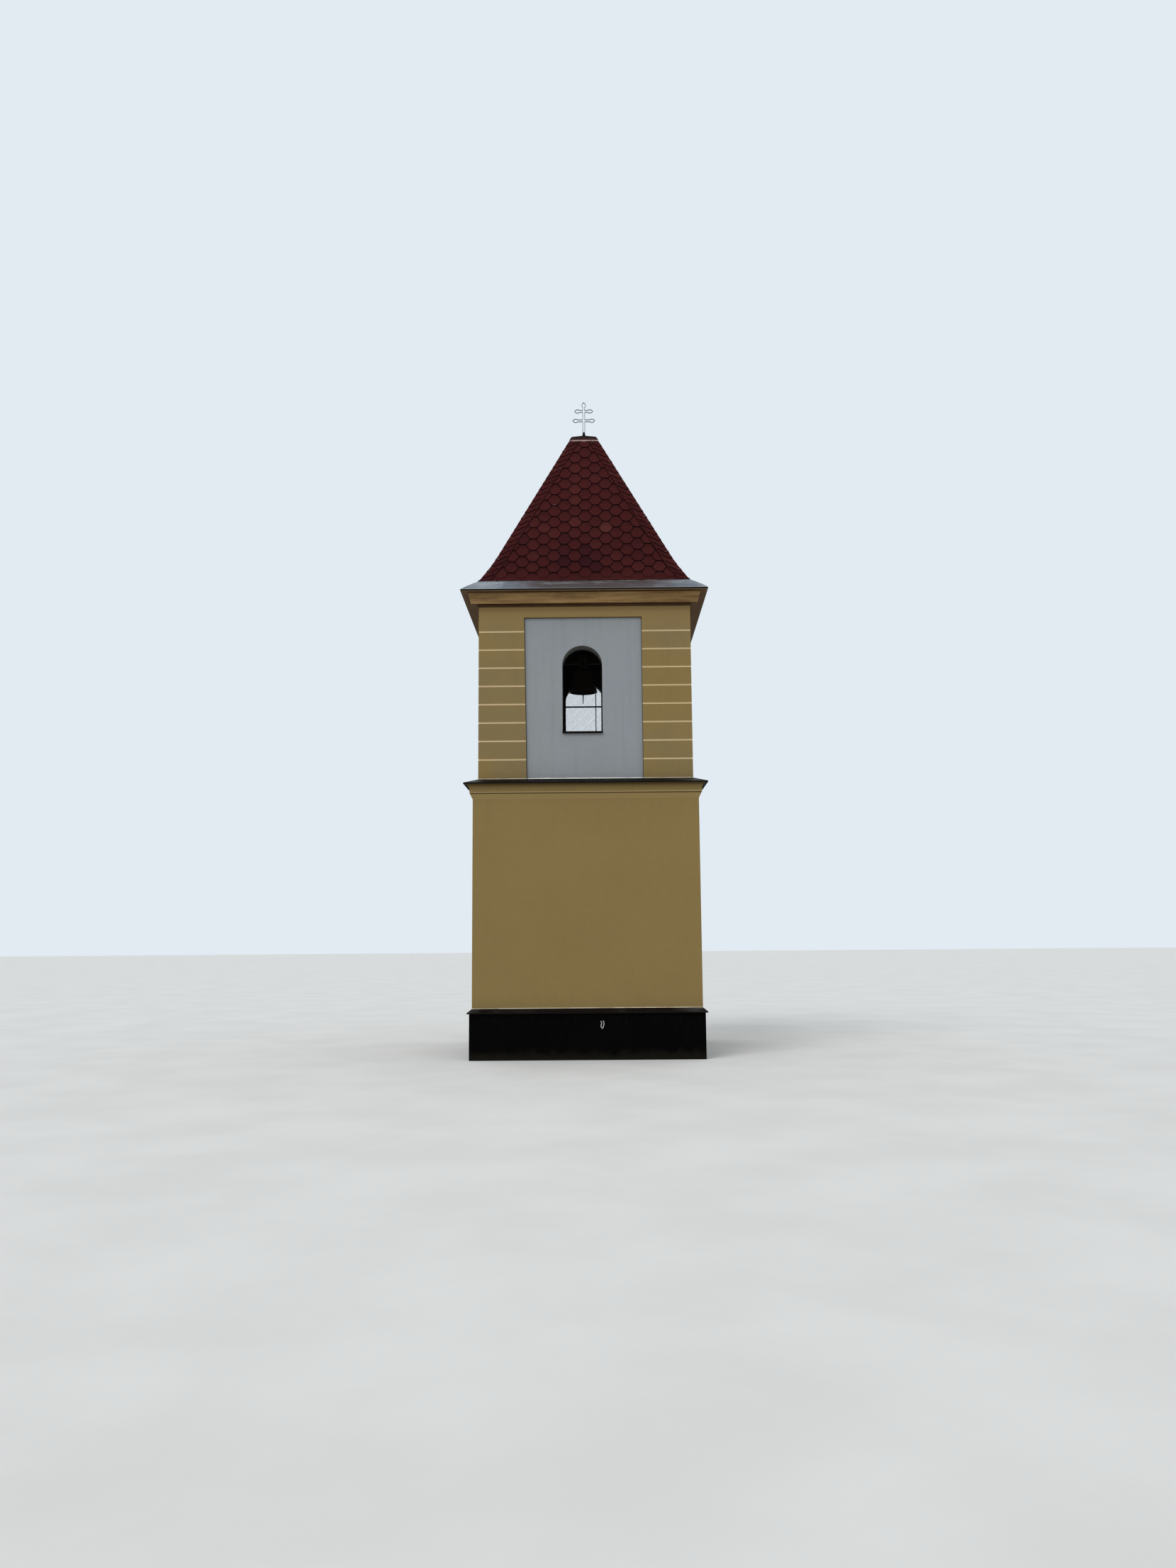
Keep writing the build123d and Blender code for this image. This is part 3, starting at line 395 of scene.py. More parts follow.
def render_material(name, colour, second, detail=None):
    """Painted render; detail adds what only one wall has."""
    shader, place = new_material(name, 0.9, specular=0.08)
    z = split(place)[2]
    paint = mix(ease(cloud(place, 0.9, 2.0), 0.38, 0.62), colour, second)
    paint = mottled(paint, place, (0.75, 0.025), (0.09, 0.022))
    for foot, reach in ((PLINTH_TOP, 0.32), (BELT_TOP, 0.16)):
        paint = mix(dirt_above(place, foot, reach) * 0.14, paint, SPLASH)
    for head, reach in ((LOWER_TOP, 0.9), (WALL_HEAD, 0.4)):
        paint = mix(streaks_below(place, head, reach, 0.09, 1.4) * 0.045, paint, SOOT)
    # Paler edges: rubbed paint, and a painted highlight on each arris.
    pale = [min(1, channel * 1.75 + 0.03) for channel in colour]
    paint = mix(rubbed_and_lit_edges(place, 0.012) * 0.35, paint, pale)
    foot_line = band(z, PLINTH_TOP, PLINTH_TOP + 0.014) + band(z, BELT_TOP, BELT_TOP + 0.013)
    paint = mix(foot_line * ease(cloud(place, 5.0), 0.3, 0.55, 0.35, 0.85), paint, FOOT_LINE)
    if detail:
        paint = detail(paint, place, z)
    sand, trowel = use(grain, place, Size=0.006)["Height"], cloud(place, 3.2, 2.0)
    # The room's inner faces get the painted shade.
    coat(shader, mix(indoors(place), paint, ROOM_SHADE), sand + trowel * 3.0, 0.0012)


render_material("ochre_render", OCHRE, OCHRE_BROWN)

# %% [markdown]
# The string course shades itself. Its upper part lies dark under the sheet, and a pale arris and
# a chamfer catch the light below its fascia, over a thin line of shadow. The raised render has
# cream paint in its grooves, which are the only faces there that slope at 45 degrees; the cream is
# painted paler still, as a highlight. Its frieze is painted lighter and warmer, as light against
# the cornice's shade.

# %% Belt and grooves
SHADE_FOOT, SHADE_HEAD = 4.050, 4.125
FRIEZE_FOOT, FRIEZE_HEAD = 6.42, 6.92
GROOVE_SLOPE, SLOPE_PLAY = 0.707, 0.15


def shade_belt(paint, place, z):
    """The shade under the sheet, the arris, the chamfer and its shadow line."""
    paint = mix(ease(z, SHADE_FOOT, SHADE_HEAD) * 0.85, paint, (0.045, 0.028, 0.008))
    arris = band(z, LOWER_TOP + 0.003, LOWER_TOP + 0.013) * 0.55
    paint = mix(arris, paint, (0.40, 0.31, 0.16))
    paint = mix(ease(z, LOWER_TOP + 0.002, LOWER_TOP - 0.004), paint, (0.285, 0.203, 0.082))
    shadow = band(z, LOWER_TOP - 0.015, LOWER_TOP - 0.001) * 0.75
    return mix(shadow, paint, (0.03, 0.016, 0.006))


def paint_grooves(paint, place, z):
    """Frieze painted lighter against shade, and cream with a painted highlight on the groove sides.
    """
    # The frieze painted lighter and warmer, as light against the cornice's shade.
    paint = mix(ease(z, FRIEZE_FOOT, FRIEZE_HEAD), paint, LIT_FRIEZE_OCHRE)
    # Cream on the groove sides, painted paler as a highlight.
    cut = calc("COMPARE", abs(facing_up(place)), GROOVE_SLOPE, SLOPE_PLAY)
    return mix(cut, paint, GROOVE_CREAM_LIT)


render_material("belt_render", OCHRE, OCHRE_BROWN, shade_belt)
render_material("grooved_ochre_render", PIER_OCHRE, OCHRE, paint_grooves)

# %% [markdown]
# A grey panel has a dark line along both upright edges and its head. The front panel sits
# a little to the left, and its left edge leans outwards with height. The line could be a thin
# piece of its own, but a dark band that is placed by the wall's measures shows the same, and it
# never floats or sticks out. The reveals of the opening are painted darker as shade, behind a
# pale rim that is a painted highlight.

# %% Grey panels
PANEL_OUT = 1.605
SIDE_EDGE, RIGHT_EDGE = 0.905, 0.878
LEFT_EDGE, LEFT_LEAN = 0.834, 0.01417
# Painted shade for the reveals, and the dark line along the panel's edges.
REVEAL_SHADE, EDGE_LINE_BROWN = (0.112, 0.114, 0.092), (0.045, 0.030, 0.016)


def panel_edge_line(place):
    """1 in the dark line at a panel's upright edges."""
    x, y, z = split(place)
    front, left = ease(y, -1.50, -1.55), ease(x, 0.1, -0.1)
    start = left * (z * LEFT_LEAN + LEFT_EDGE - RIGHT_EDGE) + RIGHT_EDGE
    start = front * (start - SIDE_EDGE) + SIDE_EDGE
    return ease(from_middle(place) - start, 0.0, 0.004)


def shade_panel(paint, place, z):
    """Painted shade in the reveals, a painted highlight on the rim, and the dark edge line."""
    out = outward_reach(place)
    # The reveals are painted darker as shade.
    paint = mix(ease(out, PANEL_OUT - 0.004, PANEL_OUT - 0.025) * 0.8, paint, REVEAL_SHADE)
    # A painted pale highlight on the rim in front of the reveals.
    rim = band(out, PANEL_OUT - 0.0095, PANEL_OUT - 0.0015, 0.001)
    paint = mix(rim * 0.85, paint, (0.44, 0.455, 0.46))
    # The dark line along the panel's upright edges and its head.
    head_line = ease(z, PANEL_HEAD - 0.014, PANEL_HEAD - 0.009)
    return mix(calc("MAXIMUM", panel_edge_line(place), head_line) * 0.85, paint, EDGE_LINE_BROWN)


render_material("grey_render", GREY, GREY_COOL, shade_panel)

# %% [markdown]
# ### Plinth, slab and dark room
# The plinth is painted nearly black against splashing rain. Dust lightens its foot and its top
# edge. The walls' inner faces are painted near black, as the shade of an unlit room. The slab
# inside is plain grey concrete with a fine grit.

# %% Plinth paint and concrete
shader, place = new_material("plinth_paint", 0.85, specular=0.02)
paint = mottled((0.0018, 0.0016, 0.0015), place, (0.5, 0.12), (0.05, 0.14))
paint = mix(dirt_above(place, 0.0, 0.22) * 0.28, paint, (0.030, 0.026, 0.018))
paint = mix(streaks_below(place, 0.72, 0.7, 0.04, 0.5) * 0.08, paint, (0.018, 0.016, 0.014))
# Paler edges: rubbed paint, and a painted highlight on each arris.
paint = mix(rubbed_and_lit_edges(place, 0.014) * 0.2, paint, (0.03, 0.028, 0.026))
sand = use(grain, place, Size=0.008)["Height"]
# The room's inner faces get the painted shade.
coat(shader, mix(indoors(place), paint, ROOM_SHADE), sand + cloud(place, 5.0), 0.002)

shader, place = new_material("slab_concrete", 0.9)
grit = use(grain, place, Size=0.004)
stone = mix(grit["Speck"], (0.16, 0.15, 0.135), (0.10, 0.095, 0.085))
coat(shader, mottled(stone, place, (0.6, 0.12)), grit["Height"], 0.001)

# %% [markdown]
# ### Sheet metal
# Three kinds of sheet protect the ledges. The plinth cap, the string course cap and the sills are
# thin sheet under dark brown paint, with dust on top and a pale painted sheen towards the corners.
# The cap on the roof's tip is brown too, and its lower edge carries a pale painted sheen.

# %% Dark and brown sheet
# Pale dust, also the colour of the painted highlight on rubbed edges.
PALE_DUST_AND_SHEEN = (0.032, 0.027, 0.022)
# Below the first height the apex cap's lower edge gets a pale painted sheen.
SHEEN_LINE, SHOULDER_FOOT, SHOULDER_HEAD = 10.233, 10.243, 10.262

shader, place = new_material("dark_sheet", 0.5, specular=0.05)
paint = mottled((0.0050, 0.0034, 0.0028), place, (0.35, 0.12), (0.03, 0.08))
# Paler edges: dust, and a painted highlight on each arris.
paint = mix(rubbed_and_lit_edges(place, 0.008) * 0.2, paint, PALE_DUST_AND_SHEEN)
flat = ease(facing_up(place), 0.3, 0.9)
paint = mix(flat * ease(cloud(place, 3.0, 4.0), 0.5, 0.75, 0.0, 0.3), paint, PALE_DUST_AND_SHEEN)
# A pale painted sheen on the tops towards the corners.
corner = ease(from_middle(place), 1.2, 1.72, 0.0, 0.22) * flat
corner_sheen = ease(cloud(stretch(place, (1.0, 1.0, 8.0)), 2.4, 2.0), 0.42, 0.6)
paint = mix(corner * corner_sheen, paint, (0.20, 0.19, 0.18))
feed(ease(cloud(place, 25.0), 0.3, 0.7, 0.4, 0.65), shader.inputs["Roughness"])
coat(shader, paint, cloud(place, 4.0), 0.004)

shader, place = new_material("apex_sheet", 0.75, specular=0.03)
z = split(place)[2]
shoulder = ease(z, SHOULDER_FOOT, SHOULDER_HEAD)
paint = mix(shoulder, (0.070, 0.038, 0.034), (0.018, 0.0080, 0.0080))
# A pale painted sheen along the cap's lower edge.
blotch = ease(cloud(stretch(place, (1.0, 1.0, 2.5)), 9.0), 0.38, 0.54, 0.25, 1.0)
paint = mix(ease(z, SHEEN_LINE, SHEEN_LINE - 0.020) * blotch, paint, (0.44, 0.34, 0.32))
coat(shader, mottled(paint, place, (0.04, 0.14)), cloud(place, 9.0), 0.003)

# %% [markdown]
# The eave sheet is weathered zinc: bluish where it mirrors the sky, with a broad brownish painted
# reflection in its middle and pale painted highlight streaks above. Its turned-down edge is painted
# dark as shade, so it isn't metallic there, and a pale painted highlight runs along its edge.

# %% Zinc of the eave
# Where the broad painted brown reflection lies on each side.
REFLECTION_MIDDLE, REFLECTION_INNER, REFLECTION_OUTER = 0.2, 1.15, 1.95
# Heights of the pale painted highlight streaks and of the painted highlight along the edge.
HIGHLIGHT_FOOT, HIGHLIGHT_HEAD = 7.17, 7.32
LIT_RIM_FOOT, LIT_RIM_HEAD = 7.139, 7.146

shader, place = new_material("eave_zinc", 0.42, metallic=0.2, specular=0.15)
z, up_share = split(place)[2], facing_up(place)
cloudy = ease(cloud(place, 2.2, 4.0), 0.35, 0.65)
zinc = mix(cloudy, (0.120, 0.141, 0.170), (0.225, 0.252, 0.282))
away = from_middle(place, REFLECTION_MIDDLE) + cloud(place, 1.3)
# A broad brownish painted reflection in the middle of each side.
zinc = mix(ease(away, REFLECTION_INNER, REFLECTION_OUTER, 0.94, 0.0), zinc, (0.056, 0.036, 0.034))
# Pale painted highlight streaks near the top.
highlight_streaks = ease(cloud(stretch(place, (1.3, 1.3, 11.0)), 1.6, 3.0, 0.6), 0.50, 0.72, 0.0, 0.42)
zinc = mix(highlight_streaks * ease(z, HIGHLIGHT_FOOT, HIGHLIGHT_HEAD), zinc, (0.46, 0.50, 0.54))
zinc = mix(streaks_below(place, 7.4, 0.6, 0.03, 0.2) * 0.35, zinc, (0.09, 0.075, 0.065))
# The turned-down edge is painted near black as shade.
turned_down = ease(up_share, 0.45, 0.25)
zinc = mix(turned_down, zinc, (0.004, 0.0028, 0.0028))
# A pale painted highlight along the edge.
rim = ease(z, LIT_RIM_HEAD, LIT_RIM_FOOT) * (1.0 - turned_down)
zinc = mix(rim * 0.35, zinc, (0.42, 0.42, 0.42))
feed(ease(cloud(place, 9.0, 4.0), 0.3, 0.7, 0.32, 0.55), shader.inputs["Roughness"])
feed(ease(up_share, 0.25, 0.45, 0.0, 0.2), shader.inputs["Metallic"])
coat(shader, zinc, cloud(place, 30.0), 0.0006)

# %% [markdown]
# ### Timber
# The boxed cornice is boards under a streaky ochre-brown stain. Its undersides are painted darker
# as shade, the front and back ones more than the side ones. Inside, joists, rafters and the bell
# frame are old raw timber, painted darker still as the shade of the unlit belfry. The grain runs
# along each board, so the noise is stretched along that axis.

# %% Timber materials
ALONG_X, ALONG_Y, ALONG_Z = (0.9, 14, 14), (14, 0.9, 14), (14, 14, 0.9)
STAIN = (0.320, 0.200, 0.082), (0.150, 0.084, 0.032)
# Raw timber, darkened as the painted shade of the unlit belfry.
RAW_SHADED = (0.030, 0.021, 0.014), (0.012, 0.008, 0.005)
# Undersides painted darker as shade: more on the front and back than on the flanks.
FRONT_SOFFIT_SHADE, SIDE_SOFFIT_SHADE = (0.058, 0.027, 0.010), (0.102, 0.055, 0.021)
GRAIN_DEPTH = 0.0015


def timber_material(name, tones, along, soffit=None, roughness=0.7):
    """Stained or raw wood, given by its light and dark tone, with its grain along one axis."""
    shader, place = new_material(name, roughness, specular=0.1)
    light, dark = tones
    fibres = use(wood_grain, place, Along=along)
    wood = mottled(mix(fibres["Tone"], dark, light), place, (0.6, 0.10))
    if soffit:
        # Undersides get the painted shade.
        wood = mix(ease(facing_up(place), -0.6, -0.85), wood, soffit)
        # Paler edges: rubbed stain, and a painted highlight on each arris.
        wood = mix(rubbed_and_lit_edges(place, 0.009) * 0.55, wood, [channel * 1.5 for channel in light])
    coat(shader, wood, fibres["Height"], GRAIN_DEPTH)


timber_material("cornice_stain_x", STAIN, ALONG_X, FRONT_SOFFIT_SHADE)
timber_material("cornice_stain_y", STAIN, ALONG_Y, SIDE_SOFFIT_SHADE)
for axis, along in (("x", ALONG_X), ("y", ALONG_Y), ("z", ALONG_Z)):
    timber_material(f"raw_timber_{axis}", RAW_SHADED, along, roughness=0.85)
timber_material("door_stain", ((0.12, 0.058, 0.026), (0.05, 0.023, 0.011)), ALONG_Z, None, 0.5)

# %% [markdown]
# The boards of the roof are raw timber below. Their upper face is under dark roofing felt, which
# shows as a dark ground in the gaps between the tabs.

# %% Felt on boards
FELT = (0.009, 0.0032, 0.0032)
shader, place = new_material("felt_on_boards", 0.9, specular=0.03)
fibres = use(wood_grain, place, Along=ALONG_X)
boards = mix(fibres["Tone"], RAW_SHADED[1], RAW_SHADED[0])
coat(shader, mix(ease(facing_up(place), 0.02, 0.10), boards, FELT), fibres["Height"], GRAIN_DEPTH)

# %% [markdown]
# ### Bitumen shingles
# A shingle is a felt mat with dark red mineral granules, which are never spread quite evenly, so
# each tab's tone differs a little from its neighbours'. Each point of a tab carries its place on
# the tab and the tab's tone as an attribute. The shader works out from them how near the covering
# tab's edge is, and draws a painted line of shadow there, with the grit that gathers under it. It
# also paints each tab darker towards its head as shade, and pale curled lips as rubbing and a
# painted highlight.

# %% Shingle measures
TAB_PITCH = 0.3333
EXPOSURE, HIP_EXPOSURE = 0.124, 0.14
TAB_FLAT, TAB_WIDE = 0.098, 0.2353
TAB_GROWTH = (TAB_WIDE - TAB_FLAT) / 2
slant = math.hypot(EXPOSURE, TAB_GROWTH)
SLANT_ACROSS, SLANT_UP = EXPOSURE / slant, TAB_GROWTH / slant
WING_START, WING_FULL = 0.143, 0.160
LIP_START, LIP_END, LIP_HALF = 0.003, 0.013, 0.040
print("a tab's side runs", round(slant, 4), "m")


# %% Shingle materials
def hip_shadow_grit(across, y):
    """Painted shadow and grit on a hip cap under the next cap's edge, and painted shadow on its
    wings.
    """
    rise = y - HIP_EXPOSURE
    slope = (across - TAB_FLAT / 2) * SLANT_ACROSS - rise * SLANT_UP
    grit = ease(calc("MAXIMUM", rise * -1.0, slope), 0.004, 0.032, 0.94, 0.0)
    return calc("MAXIMUM", grit, ease(across, WING_START, WING_FULL, 0.0, 0.8))


def field_shadow_grit(across, y):
    """Painted shadow and grit on a tab beside its neighbours' slanting sides and under the next
    course.
    """
    slope = (TAB_WIDE / 2 - across) * SLANT_ACROSS + (EXPOSURE - y) * SLANT_UP
    under_flat = ease(2 * EXPOSURE - y, 0.004, 0.034, 0.96, 0.0)
    return calc("MAXIMUM", under_flat, ease(slope, 0.003, 0.030, 0.88, 0.0))


def shingle_material(name, hip):
    """Granules, tab tones, painted shadow and grit under edges, and pale lips with painted
    highlight.
    """
    shader, place = new_material(name, 0.95, specular=0.04)
    tree = shader.id_data
    x, y, tone = split(Value(add(tree, "Attribute", attribute_name="tab"), "Vector"))
    wear = Value(add(tree, "Attribute", attribute_name="wear"), "Fac")
    across = abs(x)
    stone = mix(ease(tone, 0.0, 0.5), (0.026, 0.0058, 0.0080), (0.046, 0.0088, 0.0090))
    stone = mix(ease(tone, 0.5, 1.0), stone, (0.080, 0.0230, 0.0180))
    # Darker towards the eave, lighter towards the top.
    lighter_upwards = ease(split(place)[2], 7.3, 9.6, 0.90, 1.10)
    # Each tab painted darker towards its head as shade.
    tab_head_shade = ease(y, 0.09, 0.24, 1.06, 0.84)
    stone = toned(mottled(stone, place, (0.9, 0.13), (0.02, 0.10)), lighter_upwards, tab_head_shade)
    granules = use(grain, place, Size=0.0022)
    stone = mix(granules["Speck"] * 0.10, stone, (0.11, 0.05, 0.042))
    grit = hip_shadow_grit(across, y) if hip else field_shadow_grit(across, y)
    # Painted shadow and grit under the covering edges.
    stone = mix(grit, stone, (0.005, 0.0014, 0.0020))
    # Pale curled lips: rubbed granules and a painted highlight.
    lip = ease(y, LIP_END, LIP_START) * wear
    if not hip:
        lip = lip * ease(across, LIP_HALF, LIP_HALF / 2)
    coat(shader, mix(lip, stone, (0.19, 0.11, 0.095)), granules["Height"], 0.0012)


shingle_material("field_shingle", hip=False)
shingle_material("hip_shingle", hip=True)

# %% [markdown]
# ### Bell, iron and cross
# The bell is bronze gone dark brown with a trace of green. Its fittings are forged iron under thin
# rust, the screens are dark painted steel, and the cross is bent from flat bar painted blue-grey.
# The bell, the screens and the mesh wire are darker still, as the painted shade of the unlit
# belfry. Old nearly black paint hardly shines, so it gets less gloss than the paler metals.

# %% Metal materials
# name: metal colour, rust or patina, its share, metallic, roughness
METALS = {
    # The bell, screens and mesh wire are darkened as the painted shade of the unlit belfry.
    "bell_bronze": ((0.029, 0.019, 0.010), (0.017, 0.022, 0.017), 0.18, 0.5, 0.5),
    "forged_iron": ((0.045, 0.042, 0.040), (0.085, 0.036, 0.016), 0.25, 0.5, 0.55),
    "screen_steel": ((0.005, 0.005, 0.005), (0.012, 0.007, 0.004), 0.15, 0.0, 0.8),
    "mesh_wire_shaded": ((0.007, 0.007, 0.007), (0.012, 0.009, 0.006), 0.12, 0.0, 0.7),
    "cross_paint": ((0.040, 0.075, 0.098), (0.10, 0.125, 0.135), 0.18, 0.1, 0.45),
    "socket_paint": ((0.005, 0.005, 0.008), (0.010, 0.008, 0.007), 0.12, 0.0, 0.7),
    "hook_wire": ((0.52, 0.52, 0.51), (0.30, 0.24, 0.19), 0.1, 0.3, 0.4),
}
NEARLY_BLACK, DULL, SATIN = 0.03, 0.06, 0.2

for name, (colour, rust, share, metallic, roughness) in METALS.items():
    gloss = DULL if colour[0] < NEARLY_BLACK else SATIN
    shader, place = new_material(name, roughness, metallic, gloss)
    patch = ease(cloud(place, 14.0, 5.0, 0.65), 0.7 - share, 0.9 - share)
    metal = mix(patch, mottled(colour, place, (0.12, 0.15)), rust)
    # Rubbed edges: paler bare metal, and a painted highlight.
    bare_and_lit = [channel * 2.2 + 0.006 for channel in colour]
    metal = mix(rubbed_and_lit_edges(place, 0.004) * 0.35, metal, bare_and_lit)
    feed(patch * 0.25 + roughness, shader.inputs["Roughness"])
    coat(shader, metal, use(grain, place, Size=0.005)["Height"] + patch, 0.0008)

# %% [markdown]
# ## Materials on the CAD parts
# A node's name says which part it is, so each finish lists the beginnings of its nodes' names.
# Where two beginnings fit, such as plinth and plinth_cap, the longer one counts.

# %% Assign materials
WEARERS = {
    "plinth_paint": ["plinth"],
    "slab_concrete": ["ground_slab"],
    "ochre_render": ["lower_wall"],
    "grey_render": ["upper_wall"],
    "grooved_ochre_render": ["raised_render"],
    "belt_render": ["string_course"],
    "dark_sheet": ["plinth_cap", "string_course_cap", "window_sills"],
    "eave_zinc": ["eave_flashing"],
    "apex_sheet": ["apex_cap"],
    "cornice_stain_x": ["cornice_front", "cornice_back"],
    "cornice_stain_y": ["cornice"],
    "felt_on_boards": ["roof_panel"],
    "screen_steel": ["window_screens"],
    "door_stain": ["door"],
    "raw_timber_x": ["floor_joists", "belfry_floor", "wall_plate", "collar_beams", "yoke"],
    "raw_timber_y": ["bell_beams"],
    "raw_timber_z": ["hip_rafters", "king_post"],
    "forged_iron": ["yoke_straps", "bearing_blocks", "gudgeons", "clapper"],
    "bell_bronze": ["bell"],
    "socket_paint": ["cross_socket"],
    "cross_paint": ["cross"],
}
finish_of = {start: finish for finish, starts in WEARERS.items() for start in starts}

for name, node in nodes.items():
    longest = max((start for start in finish_of if name.startswith(start)), key=len)
    node.data.materials.clear()
    node.data.materials.append(finishes[finish_of[longest]])
print("dressed", len(nodes), "nodes")

# %% [markdown]
# ## The roof as a developed surface
# Each roof slope is laid out flat first: x runs along the eave and v runs up the slope. One
# function turns x, v and a lift above the boards into a place on any side of the tower, so a
# shingle is drawn once, flat, as a roofer would cut it. The slope bends at two lines, the eave
# sheet's top and the bell-cast knee, and real shingles can't follow a sharp inner corner, so both
# bends are rounded.

# %% Roof profile
PROFILE = (1.700, 7.290), (1.640, 7.336), (1.448, 7.648), (0.243, 10.212)
SIDES = {"front": 0, "right": 90, "back": 180, "left": 270}
BEND_REACH = {1: 0.045, 2: 0.22}
pairs = list(zip(PROFILE, PROFILE[1:]))
lengths = [math.dist(a, b) for a, b in pairs]
headings = [(Vector(b) - Vector(a)).normalized() for a, b in pairs]
marks = [-lengths[0], 0.0, lengths[1], lengths[1] + lengths[2]]
ROOF_LENGTH = marks[3]
print("slope length", round(ROOF_LENGTH, 3), "knee at", round(marks[2], 3))


def roof_profile(v):
    """Distance out, height, and the unit direction up the slope, v metres above its foot."""
    for index, reach in BEND_REACH.items():
        if abs(v - marks[index]) < reach:
            before, after = headings[index - 1], headings[index]
            t = (v - marks[index] + reach) / (2 * reach)
            corner = Vector(PROFILE[index])
            start, end = corner - before * reach, corner + after * reach
            point = start * (1 - t) ** 2 + corner * 2 * t * (1 - t) + end * t**2
            return point.x, point.y, (before * (1 - t) + after * t).normalized()
    index = 0 if v < 0 else 1 if v < marks[2] else 2
    point = Vector(PROFILE[index]) + headings[index] * (v - marks[index])
    return point.x, point.y, headings[index]


def side_place(side, x, out, z):
    """A point in front of one side, in the tower's own frame."""
    angle = math.radians(SIDES[side])
    cosine, sine = math.cos(angle), math.sin(angle)
    return Vector((x * cosine + out * sine, x * sine - out * cosine, z))


def roof_place(side, x, v, lift):
    """A point on one roof slope, lift metres above the boards."""
    out, z, heading = roof_profile(v)
    return side_place(side, x, out + heading.y * lift, z - heading.x * lift)


# %% [markdown]
# ## Helpers for meshes
# Most pieces here are one of two closed solids. A plate is two grids of points, one for its top
# and one for its underside, joined round the rim. A tube runs through rings of points, such as a
# wire, a board or a mitred strip. A bag collects many of them into one mesh, along with the
# numbers that each point carries for its shader.


# %% Mesh helpers
def finish_piece(name, mesh, finish):
    """Dresses a mesh and lets it ride on the tower."""
    mesh.materials.clear()
    mesh.materials.append(finishes[finish])
    made = new_object(name, mesh)
    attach(made, "tower")
    print(name, sum(len(polygon.vertices) - 2 for polygon in mesh.polygons), "triangles")
    return made


def plate_faces(rows, columns):
    """Faces of a plate: the top grid's points come first, then the underside's."""
    under = rows * columns
    faces = []
    for row in range(rows - 1):
        for column in range(columns - 1):
            a = row * columns + column
            b, c, d = a + 1, a + columns + 1, a + columns
            faces.append((a, b, c, d))
            faces.append((under + d, under + c, under + b, under + a))
    rim = list(range(columns))
    rim += [row * columns + columns - 1 for row in range(1, rows)]
    rim += [(rows - 1) * columns + column for column in range(columns - 2, -1, -1)]
    rim += [row * columns for row in range(rows - 2, 0, -1)]
    for a, b in zip(rim, rim[1:] + rim[:1]):
        faces.append((b, a, under + a, under + b))
    return faces


class Bag:
    """Points, faces and point values of one mesh in the making."""

    def __init__(self):
        self.points, self.faces, self.values = [], [], {}

    def add(self, points, faces, **values):
        """Adds a closed part, given by its own numbering."""
        first = len(self.points)
        self.points.extend(points)
        self.faces.extend(tuple(first + index for index in face) for face in faces)
        for key, items in values.items():
            self.values.setdefault(key, []).extend(items)

    def add_plate(self, top, under, columns, marks_on_tab, worn_and_lit):
        """Adds a plate with what its shader reads."""
        faces = plate_faces(len(top) // columns, columns)
        self.add(top + under, faces, tab=marks_on_tab * 2, wear=[worn_and_lit] * (2 * len(top)))

    def add_tube(self, *rings, tip=None):
        """Adds a tube with flat ends, or with a tip over its last ring."""
        count, last = len(rings[0]), (len(rings) - 1) * len(rings[0])
        steps = [(index, (index + 1) % count) for index in range(count)]
        faces = [
            (first + a, first + b, first + count + b, first + count + a)
            for first in range(0, last, count)
            for a, b in steps
        ]
        faces.append(tuple(range(count))[::-1])
        points = [point for ring in rings for point in ring]
        if tip is None:
            faces.append(tuple(range(last, last + count)))
        else:
            faces += [(last + a, last + b, last + count) for a, b in steps]
            points.append(tip)
        self.add(points, faces)

    def piece(self, name, finish, slot, smooth=False):
        """Turns the bag into an object."""
        mesh = bpy.data.meshes.new(name)
        mesh.from_pydata(self.points, [], self.faces)
        for key, items in self.values.items():
            spread = isinstance(items[0], tuple)
            layer = mesh.attributes.new(key, "FLOAT_VECTOR" if spread else "FLOAT", "POINT")
            numbers = [number for item in items for number in item] if spread else items
            layer.data.foreach_set("vector" if spread else "value", numbers)
        shape = bmesh.new()
        shape.from_mesh(mesh)
        bmesh.ops.recalc_face_normals(shape, faces=shape.faces)
        shape.to_mesh(mesh)
        shape.free()
        if smooth:
            mesh.shade_smooth()
        return finish_piece(name, mesh, finish)


# %% [markdown]
# ## Hexagonal shingles
# The real shingles come in strips. Each strip's lower edge is cut to tabs, each half a hexagon,
# and the next strip is laid half a pitch over, so a full hexagon shows for every tab. Here each
# tab is one thin plate with its own tone. It lies at a slight tilt, its lower edge on top of the
# tabs below and its head under the tabs above, as the real strips do, so the stepped shadows
# come from real thickness. A texture alone would look flat from the side.

# %% Tab measures
TAB_ROWS = (
    0.0, 0.004, 0.011, 0.024, 0.042, 0.066, 0.093, 0.114, 0.124, 0.15, 0.18, 0.215, 0.248, 0.264,
)
TAB_COLUMNS = (-1.0, -0.5, 0.0, 0.5, 1.0)
LIP_LIFT, STEP, TAB_THICKNESS = 0.0098, 0.0042, 0.0034
TIP_ROUND, TIP_REACH = 0.020, 0.024
SHOULDER_ROUND, SHOULDER_REACH = 0.005, 0.018
SIDE_LAP, LAP_SPREAD = 0.018, 1.2
CURL_REACH, CURL_EVEN, CURL_SKEW = 0.045, 0.6, 0.4
# From these curls on, a lip is painted pale, as rubbing and a painted highlight.
PALE_LIP_FROM, PALE_LIP_OVER = 0.002, 0.003
HIP_INSET, CAP_GAP = 0.112, 0.011
EDGE_MIDDLE, EDGE_WANDER, WANDERS_A_METRE = -0.014, 0.007, 1.7
LEAST_RUN, LEAST_WIDTH = 0.001, 0.004


def clamped(share):
    """Keeps a share between 0 and 1."""
    return min(1.0, max(0.0, share))


